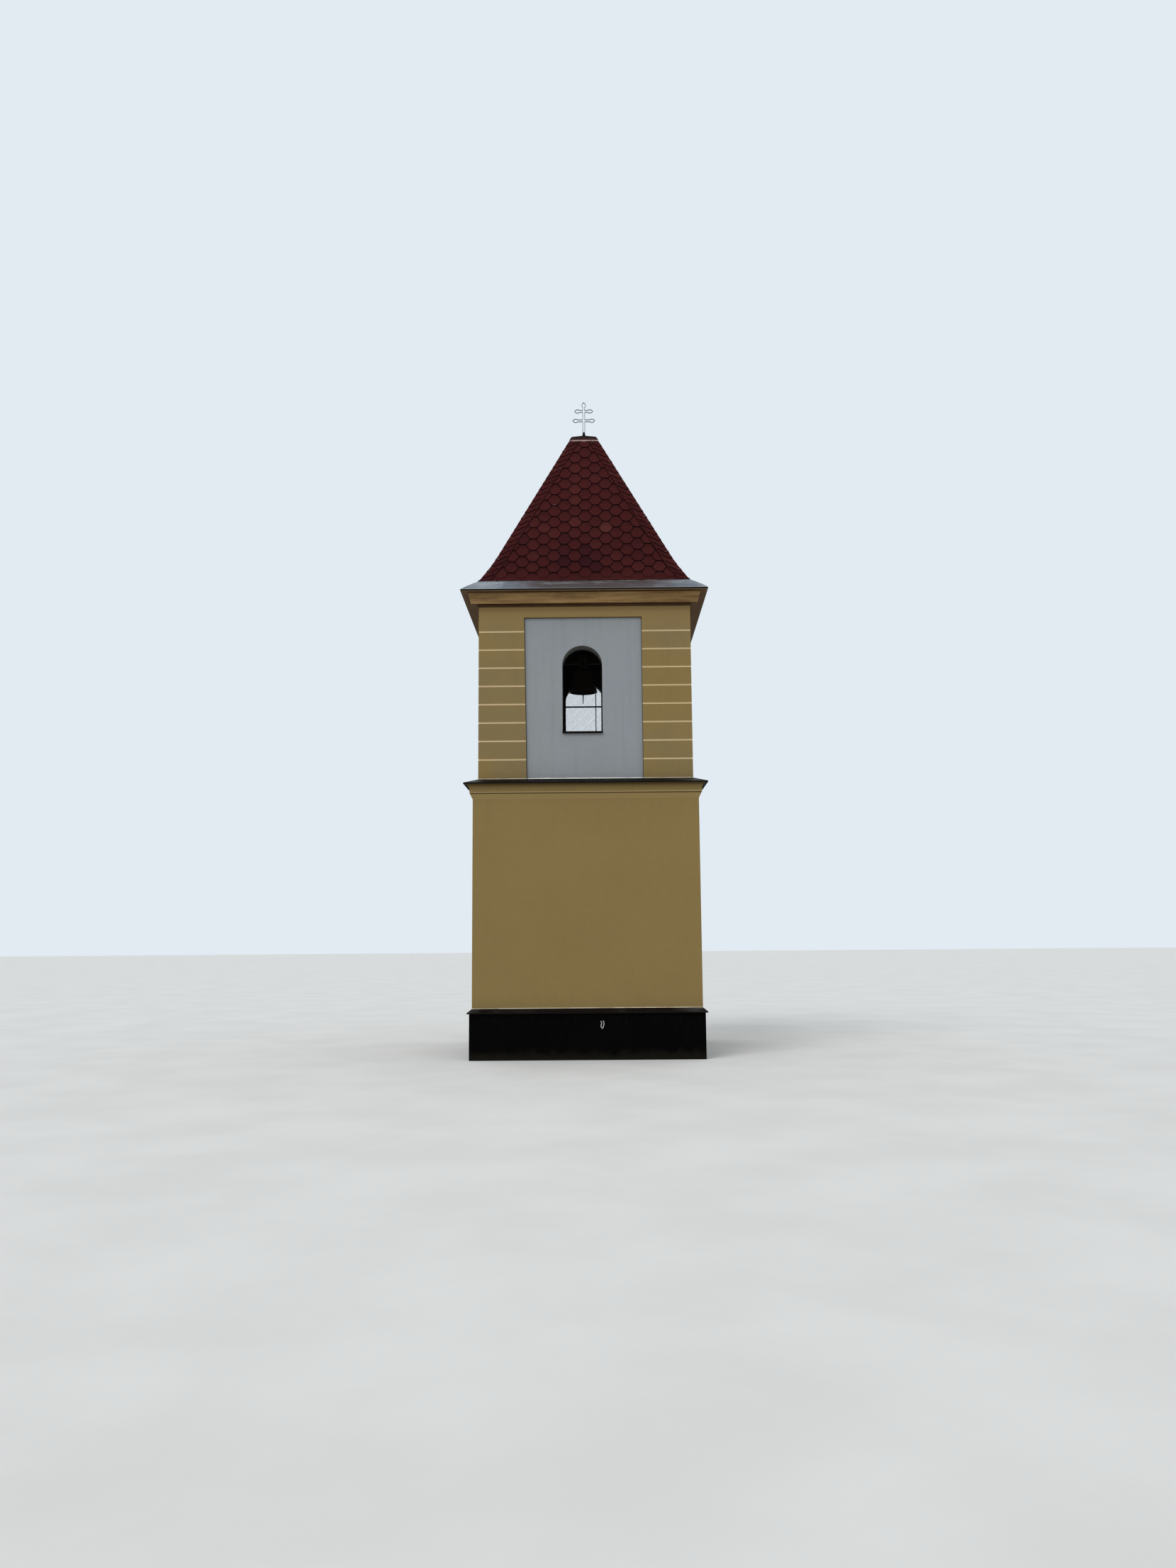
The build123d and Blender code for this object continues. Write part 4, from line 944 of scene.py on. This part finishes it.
def curl_of(chance, odds, strong, usual):
    """How far a tab's lip curls up: strong for a few, and hardly at all for the rest."""
    return strong if chance.random() < odds else abs(chance.gauss(0, usual))


def tab_half_width(y):
    """Half of a tab's width, y metres above its lower edge."""
    if y <= EXPOSURE:
        tip = TIP_ROUND * max(0.0, 1 - y / TIP_REACH) ** 2
        shoulder = SHOULDER_ROUND * max(0.0, 1 - (EXPOSURE - y) / SHOULDER_REACH)
        return TAB_FLAT / 2 + TAB_GROWTH * y / EXPOSURE - (tip + shoulder)
    shrink = min(1.0, (y - EXPOSURE) / EXPOSURE)
    return TAB_WIDE / 2 - TAB_GROWTH * shrink + min(SIDE_LAP, (y - EXPOSURE) * LAP_SPREAD)


def eave_wave(side, x):
    """The lowest course's cut edge wanders a little over the eave sheet."""
    where = Vector((x * WANDERS_A_METRE, SIDES[side], 0.3))
    return EDGE_MIDDLE + EDGE_WANDER * noise.noise(where)


# %% Lay one tab
def lay_tab(bag, side, x0, v0, tone, curl, skew):
    """Adds one tab, clipped at the eave, at the hips and at the cap."""
    top, under, marks_on_tab = [], [], []
    last = None
    for y in TAB_ROWS:
        v = min(max(v0 + y, eave_wave(side, x0)), ROOF_LENGTH - CAP_GAP)
        if last is not None and v - last < LEAST_RUN:
            continue
        half = tab_half_width(y)
        limit = roof_profile(v)[0] - HIP_INSET
        left, right_end = max(x0 - half, -limit), min(x0 + half, limit)
        if right_end - left < LEAST_WIDTH:
            continue
        last = v
        for share in TAB_COLUMNS:
            x = (left + right_end) / 2 + share * (right_end - left) / 2
            lift = LIP_LIFT - STEP * y / EXPOSURE
            lift += curl * max(0.0, 1 - y / CURL_REACH) ** 2 * (CURL_EVEN + CURL_SKEW * share)
            turned = v + skew * (x - x0)
            top.append(roof_place(side, x, turned, lift))
            under.append(roof_place(side, x, turned, lift - TAB_THICKNESS))
            marks_on_tab.append((x - x0, v - v0, tone))
    if len(top) < 2 * len(TAB_COLUMNS):
        return 0
    # How pale the lip is painted: rubbing and a painted highlight.
    worn_and_lit = clamped((curl - PALE_LIP_FROM) / PALE_LIP_OVER)
    bag.add_plate(top, under, len(TAB_COLUMNS), marks_on_tab, worn_and_lit)
    return 1


# %% [markdown]
# A roofer starts with an uncut strip below the first course, which fills the gaps between its
# tabs. It needs no joints, so each side's strip is one long plate.

# %% Starter strip
STARTER_ROWS, STARTER_COLUMNS = (-0.012, 0.03, 0.08, 0.13), 33
STARTER_TOP, STARTER_UNDER = 0.0052, 0.0022
STARTER_MARK = (0.0, 0.06, 0.35)


def lay_starter(bag, side):
    """The strip of one side; only its lowest row follows the wandering edge."""
    top, under = [], []
    for v in STARTER_ROWS:
        limit = roof_profile(v)[0] - HIP_INSET
        for column in range(STARTER_COLUMNS):
            x = limit * (2 * column / (STARTER_COLUMNS - 1) - 1)
            wave = eave_wave(side, x) + 0.015 if v < 0 else 0.0
            top.append(roof_place(side, x, v + wave, STARTER_TOP))
            under.append(roof_place(side, x, v + wave, STARTER_UNDER))
    bag.add_plate(top, under, STARTER_COLUMNS, [STARTER_MARK] * len(top), 0.0)


# %% [markdown]
# The front slope's odd ones out, a few lighter or darker tabs and curled lips, keep their places.
# All other tones are random from a fixed seed.

# %% Lay the field
# place of the tab's shoulders on the slope, and its tone from 0, dark, to 1, light
FRONT_TONES = {
    (0.353, 1.195): 0.8, (-0.165, 1.861): 0.66, (-0.165, 1.622): 0.66, (-0.159, 1.302): 0.68,
    (0.524, 1.629): 0.68, (0.528, 1.868): 0.64, (-0.667, 1.242): 0.62, (-0.507, 1.042): 0.62,
    (0.53, 0.541): 0.62, (0.867, 0.271): 0.6, (-0.15, 2.579): 0.6, (0.152, 2.718): 0.6,
    (-0.145, 0.455): 0.12, (0.02, 0.421): 0.08, (0.021, 0.676): 0.2, (-0.311, 0.425): 0.15,
    (0.208, 0.281): 0.16, (-0.312, 0.681): 0.25, (-0.314, 0.941): 0.25, (0.21, 0.545): 0.3,
}
FRONT_CURLS = [(-0.008, 2.436), (0.002, 2.985), (-0.316, 2.415), (-0.467, 1.745)]
REACH_ACROSS, REACH_UP, LIP_UP = 0.075, 0.062, 0.01
FIRST_ROW, LAST_COURSE, COLUMNS = -0.059, 0.03, range(-6, 7)
ODD_COURSE, EVEN_COURSE = 0.0187, 0.0187 + TAB_PITCH / 2
SLIP, SKEW, MIDDLE_TONE, TONE_SPREAD = 0.0012, 0.004, 0.47, 0.075
CURL_ODDS, FULL_CURL, USUAL_CURL, HARDLY_CURLED = 0.02, 0.006, 0.0006, 0.002


def nearest(table, x, v):
    """The entry of a table of places that lies on this tab, if any."""
    for place_x, place_v in table:
        if abs(place_x - x) < REACH_ACROSS and abs(place_v - v) < REACH_UP:
            return place_x, place_v
    return None


def lay_field(side, seed):
    """All tabs of one slope."""
    chance = random.Random(seed)
    bag = Bag()
    lay_starter(bag, side)
    count = row = 0
    v0 = FIRST_ROW
    while v0 < ROOF_LENGTH - LAST_COURSE:
        shift = ODD_COURSE if row % 2 else EVEN_COURSE
        for column in COLUMNS:
            x0 = shift + column * TAB_PITCH + chance.gauss(0, SLIP)
            tone = clamped(chance.gauss(MIDDLE_TONE, TONE_SPREAD))
            curl = curl_of(chance, CURL_ODDS, FULL_CURL, USUAL_CURL)
            skew = chance.gauss(0, SKEW)
            if side == "front":
                found = nearest(FRONT_TONES, x0, v0 + EXPOSURE)
                tone = FRONT_TONES[found] if found else tone
                curled = nearest(FRONT_CURLS, x0, v0 + LIP_UP)
                curl = FULL_CURL if curled else min(curl, HARDLY_CURLED)
            count += lay_tab(bag, side, x0, v0, tone, curl, skew)
        row += 1
        v0 += EXPOSURE
    bag.piece(f"shingles_{side}", "field_shingle", "bitumen_shingle")
    print(side, count, "tabs in", row, "courses")


for number, side in enumerate(SIDES):
    lay_field(side, 40 + number)

# %% [markdown]
# ## Hip shingles
# Each hip is closed with single tabs cut from the same strips, bent over the corner and lapped
# from the eave up. One cap is laid out as half a hexagon below a full-width body, then
# wrapped: the part left of its middle lies on one slope and the part right of it on the next.

# %% Hip measures
CAP_ROWS = (0.0, 0.008, 0.04, 0.08, 0.1235, 0.1245, 0.17, 0.22, 0.28)
CAP_COLUMNS = (-1.0, -0.66, -0.33, -0.12, 0.0, 0.12, 0.33, 0.66, 1.0)
CAP_TILT, CAP_BODY, CAP_CURL_REACH = 0.0286, TAB_PITCH / 2 - 0.002, 0.05
CAP_THICKNESS, WING_THICKNESS = 0.0034, 0.003
HIP_LIFT, WING_LIFT, WING_WIDTH = 0.010, 0.0165, 0.15
CAP_STARTS = {"front": 0.123, "right": 0.05, "back": 0.09, "left": 0.113}
HIP_KNEE, SPREAD_BELOW, SPREAD_ABOVE = 0.4, 0.47, 0.425
HIP_TO_SLOPE, LAST_CAP = 1.08, 0.05
HIP_AT_EAVE, SMALL_STEP = 1.5, 0.01
CAP_TONE, CAP_TONE_SPREAD, CAP_LEAN, CAP_SLIP = 0.45, 0.09, 0.02, 0.012
CAP_CURL_ODDS, CAP_FULL_CURL, CAP_USUAL_CURL = 0.16, 0.007, 0.0012
CAP_PALE_LIP_FROM, CAP_PALE_LIP_OVER = 0.003, 0.004


def hip_place(pair, w, s, lift):
    """A point s metres up a hip and w metres to its left (below 0) or right."""
    v = s / math.hypot(1.0, SPREAD_BELOW if s < HIP_KNEE else SPREAD_ABOVE)
    out = roof_profile(v)[0]
    angle = math.atan((out - roof_profile(v + SMALL_STEP)[0]) / SMALL_STEP)
    x = out - abs(w) * math.cos(angle)
    v = v - abs(w) * math.sin(angle)
    v = min(max(v, eave_wave(pair[0], HIP_AT_EAVE)), ROOF_LENGTH - CAP_GAP)
    x = min(x, roof_profile(v)[0])
    first = roof_place(pair[0], x, v, lift)
    second = roof_place(pair[1], -x, v, lift)
    if w == 0:
        return (first + second) / 2
    return first if w < 0 else second


# %% Lay the hips
def lay_hip(pair, seed):
    """All caps of the hip at the right end of the first side."""
    chance = random.Random(seed)
    bag = Bag()
    start = CAP_STARTS[pair[0]] - HIP_EXPOSURE
    count = 0
    while start < ROOF_LENGTH * HIP_TO_SLOPE - LAST_CAP:
        tone = clamped(chance.gauss(CAP_TONE, CAP_TONE_SPREAD))
        curl = curl_of(chance, CAP_CURL_ODDS, CAP_FULL_CURL, CAP_USUAL_CURL)
        lean = chance.gauss(0, CAP_LEAN)
        top, under, marks_on_tab = [], [], []
        for s in CAP_ROWS:
            half = TAB_FLAT / 2 + TAB_GROWTH * s / EXPOSURE if s < EXPOSURE else CAP_BODY
            for share in CAP_COLUMNS:
                w = share * half
                lift = HIP_LIFT - CAP_TILT * s
                lift += (WING_LIFT - HIP_LIFT) * min(1, abs(w) / WING_WIDTH)
                lift += curl * max(0.0, 1 - s / CAP_CURL_REACH) ** 2 * (0.5 + abs(share) / 2)
                thick = CAP_THICKNESS + WING_THICKNESS * abs(share)
                top.append(hip_place(pair, w, start + s + lean * w, lift))
                under.append(hip_place(pair, w, start + s + lean * w, lift - thick))
                marks_on_tab.append((w, s, tone))
        # How pale the lip is painted: rubbing and a painted highlight.
        worn_and_lit = clamped((curl - CAP_PALE_LIP_FROM) / CAP_PALE_LIP_OVER)
        bag.add_plate(top, under, len(CAP_COLUMNS), marks_on_tab, worn_and_lit)
        count += 1
        start += HIP_EXPOSURE * (1 + chance.gauss(0, CAP_SLIP))
    bag.piece(f"hip_shingles_{pair[0]}_{pair[1]}", "hip_shingle", "bitumen_shingle")
    print("hip", pair, count, "caps")


order = list(SIDES)
for number, side in enumerate(order):
    lay_hip((side, order[(number + 1) % 4]), 80 + number)

# %% [markdown]
# ## Dented eave sheet
# The zinc sheet over the cornice is soft, and ladders and snow have left shallow dents that
# bend its reflections. The CAD sheet is flat, so it is replaced by one with the same outline, whose
# upper face rises and falls by a few millimetres. Its edges keep the CAD sheet's own places.

# %% Eave sheet
DRIP_FOOT, DRIP_HEAD, SHEET_HEAD = (1.907, 7.106), (1.907, 7.132), (1.6425, 7.336)
INNER_SIDE = (1.904, 7.106), (1.904, 7.132), (1.640, 7.333)
ALONG_STEPS, UP_STEPS = 56, 10
DENT_DEPTH, CREASE_DEPTH = 0.0045, 0.003
NORMAL_OUT, NORMAL_UP = 0.6, 0.8
drip, head = Vector(DRIP_HEAD), Vector(SHEET_HEAD)


def dented(side, x, out, z, share):
    """A point of the sheet, share of the way up it, raised by the dents; none at its edges."""
    turn_by = SIDES[side]
    wide = noise.noise(Vector((x * 1.1 + turn_by, share * 1.3, 2.0)))
    crease = noise.noise(Vector((x * 3.2 - share * 2.2 + turn_by, share * 1.7, 7.0)))
    hem = min(1.0, share * 4) * min(1.0, (1 - share) * 3)
    rise = hem * (DENT_DEPTH * (1 + wide) + CREASE_DEPTH * max(0.0, crease))
    return side_place(side, x, out + rise * NORMAL_OUT, z + rise * NORMAL_UP)


sheet_bag = Bag()
shares = [step / UP_STEPS for step in range(UP_STEPS - 1, 0, -1)]
outline = [(corner, 0.0) for corner in INNER_SIDE] + [(SHEET_HEAD, 1.0)]
outline += [(drip.lerp(head, share), share) for share in shares]
outline += [(DRIP_HEAD, 0.0), (DRIP_FOOT, 0.0)]
for side in SIDES:
    rings = []
    for step in range(ALONG_STEPS + 1):
        along = step / ALONG_STEPS * 2 - 1
        rings.append([dented(side, along * out, out, z, share) for (out, z), share in outline])
    sheet_bag.add_tube(*rings)
eave_sheet = sheet_bag.piece("eave_sheet", "eave_zinc", "galvanised_sheet")
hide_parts("eave_flashing")

# %% [markdown]
# ## Nails and clips
# Domed nails hold the sheet to the boards, about one every 0.4 m, and small clips catch the
# lowest course. They are tiny, but they are the only dark dots on the pale sheet. Both are real
# solids, so that they still catch the light from the side, and the nails follow the dented face.

# %% Round shapes
DOME_RINGS = ((1.0, -0.002), (1.0, 0.3), (0.6, 0.85))


def circle(centre, axis, radius, sides):
    """Points round an axis."""
    across = axis.orthogonal().normalized()
    third = axis.cross(across)
    angles = [2 * math.pi * step / sides for step in range(sides)]
    return [centre + (across * math.cos(a) + third * math.sin(a)) * radius for a in angles]


def dome(bag, centre, normal, radius, height):
    """Adds a nail head: three rings and a tip."""
    rings = [
        circle(centre + normal * height * rise, normal, radius * size, 8)
        for size, rise in DOME_RINGS
    ]
    bag.add_tube(*rings, tip=centre + normal * height)


def rod(bag, start, end, radius, sides):
    """Adds a straight round rod."""
    axis = (end - start).normalized()
    bag.add_tube(*(circle(centre, axis, radius, sides) for centre in (start, end)))


# %% Nails and clips
FRONT_NAILS = (-1.33, -0.60, -0.19, 0.26, 0.67, 1.08)
FRONT_CLIPS = (-1.36, -0.98, -0.37, 0.09, 0.50)
CLIP_CORNERS = ((-0.009, -0.017), (0.009, -0.017), (0.009, 0.012), (-0.009, 0.012))
CLIP_LIFTS = (0.002, 0.0115)
# first place, pitch and count of a row on the other sides
NAIL_ROW, CLIP_ROW = (-1.4, 0.41, 8), (-1.2, 0.44, 6)
ROW_SLIP, NAIL_UP, NAIL_SLIP = 0.03, 0.5, 0.05
NAIL_RADIUS, NAIL_HEIGHT = 0.011, 0.006
slope = (head - drip).normalized()


def row_of(chance, first, pitch, count):
    """Places along a side, each a little off its pitch."""
    return [first + pitch * index + chance.gauss(0, ROW_SLIP) for index in range(count)]


nail_bag, clip_bag = Bag(), Bag()
for side in SIDES:
    chance = random.Random(SIDES[side])
    nails = FRONT_NAILS if side == "front" else row_of(chance, *NAIL_ROW)
    clips = FRONT_CLIPS if side == "front" else row_of(chance, *CLIP_ROW)
    for x in nails:
        share = NAIL_UP + chance.gauss(0, NAIL_SLIP)
        out, z = drip.lerp(head, share)
        normal = side_place(side, 0, slope.y, -slope.x)
        head_place = dented(side, x, out, z, share)
        dome(nail_bag, head_place, normal, NAIL_RADIUS, NAIL_HEIGHT)
    for x in clips:
        v = eave_wave(side, x)
        clip_bag.add_tube(*(
            [roof_place(side, x + dx, v + dv, lift) for dx, dv in CLIP_CORNERS]
            for lift in CLIP_LIFTS
        ))
nail_bag.piece("eave_nails", "forged_iron", "iron", smooth=True)
clip_bag.piece("eave_clips", "screen_steel", "screen_steel")

# %% [markdown]
# ## Wire mesh in the openings
# Fine diamond mesh keeps birds out of the belfry. It hangs in the steel frames near the walls'
# inner faces. Each wire is a real thin rod, because light passes between them and a see-through
# texture would blur from close by. The wires that rise to the right lie one wire's thickness in
# front of the others, so the two families touch where they cross.

# %% Wire mesh
MESH_PITCH, WIRE_RADIUS = 0.0185, 0.0009
SCREEN_OUT, RIM_LAP = 1.310, 0.012
SILL, SPRING = 4.935, 5.990
# half the width of each opening, and how far it sits from the middle of its side
WINDOWS = {"front": (0.31, -0.04), "right": (0.31, 0.0), "back": (0.36, 0.03), "left": (0.31, 0.0)}
WIRE_STEPS, FEWEST_INSIDE = 400, 4
LAST_WIRE = 2.6


def in_opening(x, z, half):
    """True inside the arched shape, a little into the steel rim."""
    reach = half - RIM_LAP
    if z < SILL + RIM_LAP or abs(x) > reach:
        return False
    return z < SPRING or math.hypot(x, z - SPRING) < reach


def wire_span(offset, slope, half):
    """Ends of one diagonal wire within the opening, or None."""
    across = [-half + 2 * half * step / WIRE_STEPS for step in range(WIRE_STEPS + 1)]
    wire = [(x, SILL + offset + slope * x) for x in across]
    inside = [(x, z) for x, z in wire if in_opening(x, z, half)]
    return (inside[0], inside[-1]) if len(inside) > FEWEST_INSIDE else None


for side, (half, shift) in WINDOWS.items():
    bag = Bag()
    for slope in (1.0, -1.0):
        offset = -half
        depth = SCREEN_OUT + slope * WIRE_RADIUS
        while offset < SPRING - SILL + LAST_WIRE * half:
            ends = wire_span(offset, slope, half)
            if ends:
                start, end = (side_place(side, x + shift, depth, z) for x, z in ends)
                rod(bag, start, end, WIRE_RADIUS, 4)
            offset += MESH_PITCH * math.sqrt(2)
    bag.piece(f"wire_mesh_{side}", "mesh_wire_shaded", "screen_steel")

# %% [markdown]
# ## Pale beads at the panels' feet
# Where each grey panel meets the sheet on the string course, the joint is closed with a bead of
# white filler. It is one of the few bright lines on the facade.

# %% White filler
shader, place = new_material("white_filler", 0.8)
patch = ease(cloud(place, 12.0, 4.0), 0.45, 0.7, 0.0, 0.5)
filler = mix(patch, (0.66, 0.66, 0.65), (0.42, 0.41, 0.39))
coat(shader, mottled(filler, place, (0.2, 0.08)), cloud(place, 60.0), 0.001)

# %% Panel beads
PLAIN_SPAN, FRONT_SPAN = (-0.915, 0.915), (-0.905, 0.889)
BEAD_SHAPE = ((0, 0), (1, 0), (0.75, 0.6), (0.3, 1), (0, 1.15))
BEAD_STEPS, BEAD_SIZE, BEAD_CHANGE = 40, 0.018, 0.004

bead_bag = Bag()
for side in SIDES:
    left_end, right_end = FRONT_SPAN if side == "front" else PLAIN_SPAN
    rings = []
    for step in range(BEAD_STEPS + 1):
        x = left_end + (right_end - left_end) * step / BEAD_STEPS
        size = BEAD_SIZE + BEAD_CHANGE * noise.noise(Vector((x * 4, SIDES[side], 5)))
        rings.append([
            side_place(side, x, PANEL_OUT + out * size, BELT_TOP + z * size)
            for out, z in BEAD_SHAPE
        ])
    bead_bag.add_tube(*rings)
bead_bag.piece("panel_beads", "white_filler", "grey_render", smooth=True)

# %% [markdown]
# ## Bed strip under the cornice
# A narrow stained strip closes the joint between the soffit boards and the render. Its dark
# stain also stands in, as painted shade, for the shadow that the soffit casts on the wall's top.
# It is cut round on its lower edge, and mitred at the corners.

# %% Bed strip
WALL_OUT = 1.645
STRIP_SHAPE = ((0, 0), (0, -0.030), (0.008, -0.030), (0.015, -0.026), (0.020, -0.018), (0.020, 0))
# The dark stain stands partly for the painted shade under the soffit.
STRIP_STAIN_AND_SHADE = (0.085, 0.046, 0.020), (0.045, 0.024, 0.010)
timber_material("bed_strip_stain_and_shade", STRIP_STAIN_AND_SHADE, (3, 3, 20))

strip_bag = Bag()
for side in SIDES:
    strip_bag.add_tube(*(
        [
            side_place(side, hand * (WALL_OUT + out), WALL_OUT + out, WALL_HEAD + z)
            for out, z in STRIP_SHAPE
        ]
        for hand in (-1, 1)
    ))
strip_bag.piece("bed_strip", "bed_strip_stain_and_shade", "cornice_timber")

# %% [markdown]
# ## Hook on the plinth
# A loop of pale wire, pinched to a point at its foot, hangs on the front of the plinth. It is bent
# from one wire, so a smooth curve runs through it. A round bevel gives the curve its thickness, and
# the result is kept as a mesh.

# %% Plinth hook
HOOK_X, HOOK_TOP, PLINTH_OUT, HOOK_RADIUS = 0.221, 0.568, 1.757, 0.006
HOOK_LINE = (
    (-0.021, 0.0), (-0.015, -0.022), (-0.007, -0.038), (-0.021, -0.066), (-0.017, -0.090),
    (0.0, -0.112), (0.014, -0.088), (0.024, -0.056), (0.024, -0.026), (0.014, 0.004),
)
curve = bpy.data.curves.new("hook_line", "CURVE")
curve.dimensions = "3D"
curve.bevel_depth = HOOK_RADIUS
curve.bevel_resolution = 3
curve.use_fill_caps = True
line = curve.splines.new("NURBS")
line.points.add(len(HOOK_LINE) - 1)
for point, (x, z) in zip(line.points, HOOK_LINE):
    point.co = (HOOK_X + x, -PLINTH_OUT - HOOK_RADIUS, HOOK_TOP + z, 1)
line.order_u = 3
line.use_endpoint_u = True
hook_maker = new_object("hook_maker", curve)
shaped = hook_maker.evaluated_get(bpy.context.evaluated_depsgraph_get())
hook_mesh = bpy.data.meshes.new_from_object(shaped)
bpy.data.objects.remove(hook_maker)
finish_piece("plinth_hook", hook_mesh, "hook_wire")

# %% [markdown]
# ## Door boards and ironwork
# The rear door is a ledged leaf: vertical boards with open chamfered joints, two long strap
# hinges and a ring handle. The boards lie on the CAD leaf, inside its frame.

# %% Door boards
DOOR_OUT, DOOR_BOTTOM, DOOR_TOP, DOOR_HALF = 1.5475, 0.131, 1.990, 0.360
BOARDS, BOARD_GAP, BOARD_DEPTH = 6, 0.001, 0.016
BOARD_FACE = DOOR_OUT + BOARD_DEPTH


def back_place(x, out, z):
    """A point on the back side; x runs to the right as seen from behind."""
    return side_place("back", x, out, z)


def back_block(bag, low, high, chamfer):
    """Adds a block with chamfered upright edges to the back side, given by two corners."""
    (x0, y0, z0), (x1, y1, z1) = low, high
    c = chamfer
    loop = [
        (x0 + c, y0), (x1 - c, y0), (x1, y0 + c), (x1, y1 - c),
        (x1 - c, y1), (x0 + c, y1), (x0, y1 - c), (x0, y0 + c),
    ]
    bag.add_tube(*([back_place(x, y, z) for x, y in loop] for z in (z0, z1)))


board_bag = Bag()
board = 2 * DOOR_HALF / BOARDS
for index in range(BOARDS):
    left = -DOOR_HALF + index * board
    low = (left + BOARD_GAP, DOOR_OUT, DOOR_BOTTOM)
    back_block(board_bag, low, (left + board - BOARD_GAP, BOARD_FACE, DOOR_TOP), 0.004)
board_bag.piece("door_boards", "door_stain", "door_wood")

# %% Door ironwork
STRAP_HEIGHTS, STRAP_HALF, STRAP_FACE = (0.42, 1.68), 0.022, DOOR_OUT + 0.021
STRAP_ENDS = -DOOR_HALF + 0.004, DOOR_HALF * 0.62
PLATE_LOW = (DOOR_HALF - 0.13, BOARD_FACE, 1.02)
PLATE_HIGH = (DOOR_HALF - 0.07, DOOR_OUT + 0.019, 1.22)
RING_X, RING_Z, RING_OUT, RING_RADIUS, RING_STEPS = DOOR_HALF - 0.10, 1.09, 0.027, 0.034, 20
STRAP_NAILS = [-DOOR_HALF + 0.06 + index * 0.12 for index in range(5)]
outwards = back_place(0, 1, 0)

iron_bag = Bag()
for z in STRAP_HEIGHTS:
    low = (STRAP_ENDS[0], BOARD_FACE, z - STRAP_HALF)
    back_block(iron_bag, low, (STRAP_ENDS[1], STRAP_FACE, z + STRAP_HALF), 0.002)
    for x in STRAP_NAILS:
        dome(iron_bag, back_place(x, STRAP_FACE, z), outwards, 0.009, 0.005)
back_block(iron_bag, PLATE_LOW, PLATE_HIGH, 0.002)
angles = [2 * math.pi * step / RING_STEPS for step in range(RING_STEPS)]
ring = [
    back_place(
        RING_X + RING_RADIUS * math.sin(angle),
        DOOR_OUT + RING_OUT,
        RING_Z + RING_RADIUS * math.cos(angle),
    )
    for angle in angles
]
for first, second in zip(ring, ring[1:] + ring[:1]):
    rod(iron_bag, first, second, 0.005, 8)
knob = [back_place(RING_X, out, RING_Z + RING_RADIUS) for out in (BOARD_FACE, DOOR_OUT + 0.034)]
rod(iron_bag, *knob, 0.008, 8)
iron_bag.piece("door_ironwork", "forged_iron", "iron")

# %% [markdown]
# ## Floor, sky and light
# A plain pale floor catches the tower's shadow. The world gives soft light from all round, and a
# wide sun from the upper left adds the shading that the ledges and grooves need. The background
# is seen by the camera and by reflections only, so it can be pale and add no light.

# %% Floor
FLOOR_REACH = 150
shader, place = new_material("studio_floor", 0.9)
tint = mix(ease(cloud(place, 0.8, 4.0), 0.3, 0.7), (0.60, 0.60, 0.59), (0.64, 0.64, 0.63))
feed(tint, shader.inputs["Base Color"])

floor_mesh = bpy.data.meshes.new("studio_floor")
corners = [(x * FLOOR_REACH, y * FLOOR_REACH, 0) for x, y in ((-1, -1), (1, -1), (1, 1), (-1, 1))]
floor_mesh.from_pydata(corners, [], [(0, 1, 2, 3)])
floor_mesh.materials.append(finishes["studio_floor"])
floor = new_object("studio_floor", floor_mesh)
floor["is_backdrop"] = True

# %% World and sun
SKY_LIGHT, SKY_STRENGTH, SKY_SEEN = (0.95, 0.98, 1.0), 0.86, (0.76, 0.83, 0.89)
SUN_STRENGTH, SUN_WIDTH, SUN_HEADING = 1.2, 28, (0.42, 0.62, -0.78)

world = bpy.data.worlds.new("soft_studio")
scene.world = world
world.use_nodes = True
tree = world.node_tree
tree.nodes.clear()
light = Value(add(tree, "Background", {"Color": SKY_LIGHT, "Strength": SKY_STRENGTH}))
seen = Value(add(tree, "Background", {"Color": SKY_SEEN}))
path = add(tree, "LightPath")
direct = calc("MAXIMUM", Value(path, "Is Camera Ray"), Value(path, "Is Glossy Ray"))
direct = calc("MAXIMUM", direct, Value(path, "Is Transmission Ray"))
chosen = Value(add(tree, "MixShader", {0: direct, 1: light, 2: seen}))
add(tree, "OutputWorld", {0: chosen})

sun_data = bpy.data.lights.new("wide_sun", "SUN")
sun_data.energy = SUN_STRENGTH
sun_data.angle = math.radians(SUN_WIDTH)
sun = new_object("wide_sun", sun_data)
sun.rotation_mode = "QUATERNION"
sun.rotation_quaternion = Vector(SUN_HEADING).to_track_quat("-Z", "Y")
print("sun", sun_data.energy, "and sky", SKY_STRENGTH)

# %% Print the visual box and finish
low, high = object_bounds()
print("visual box", tuple(low), tuple(high))
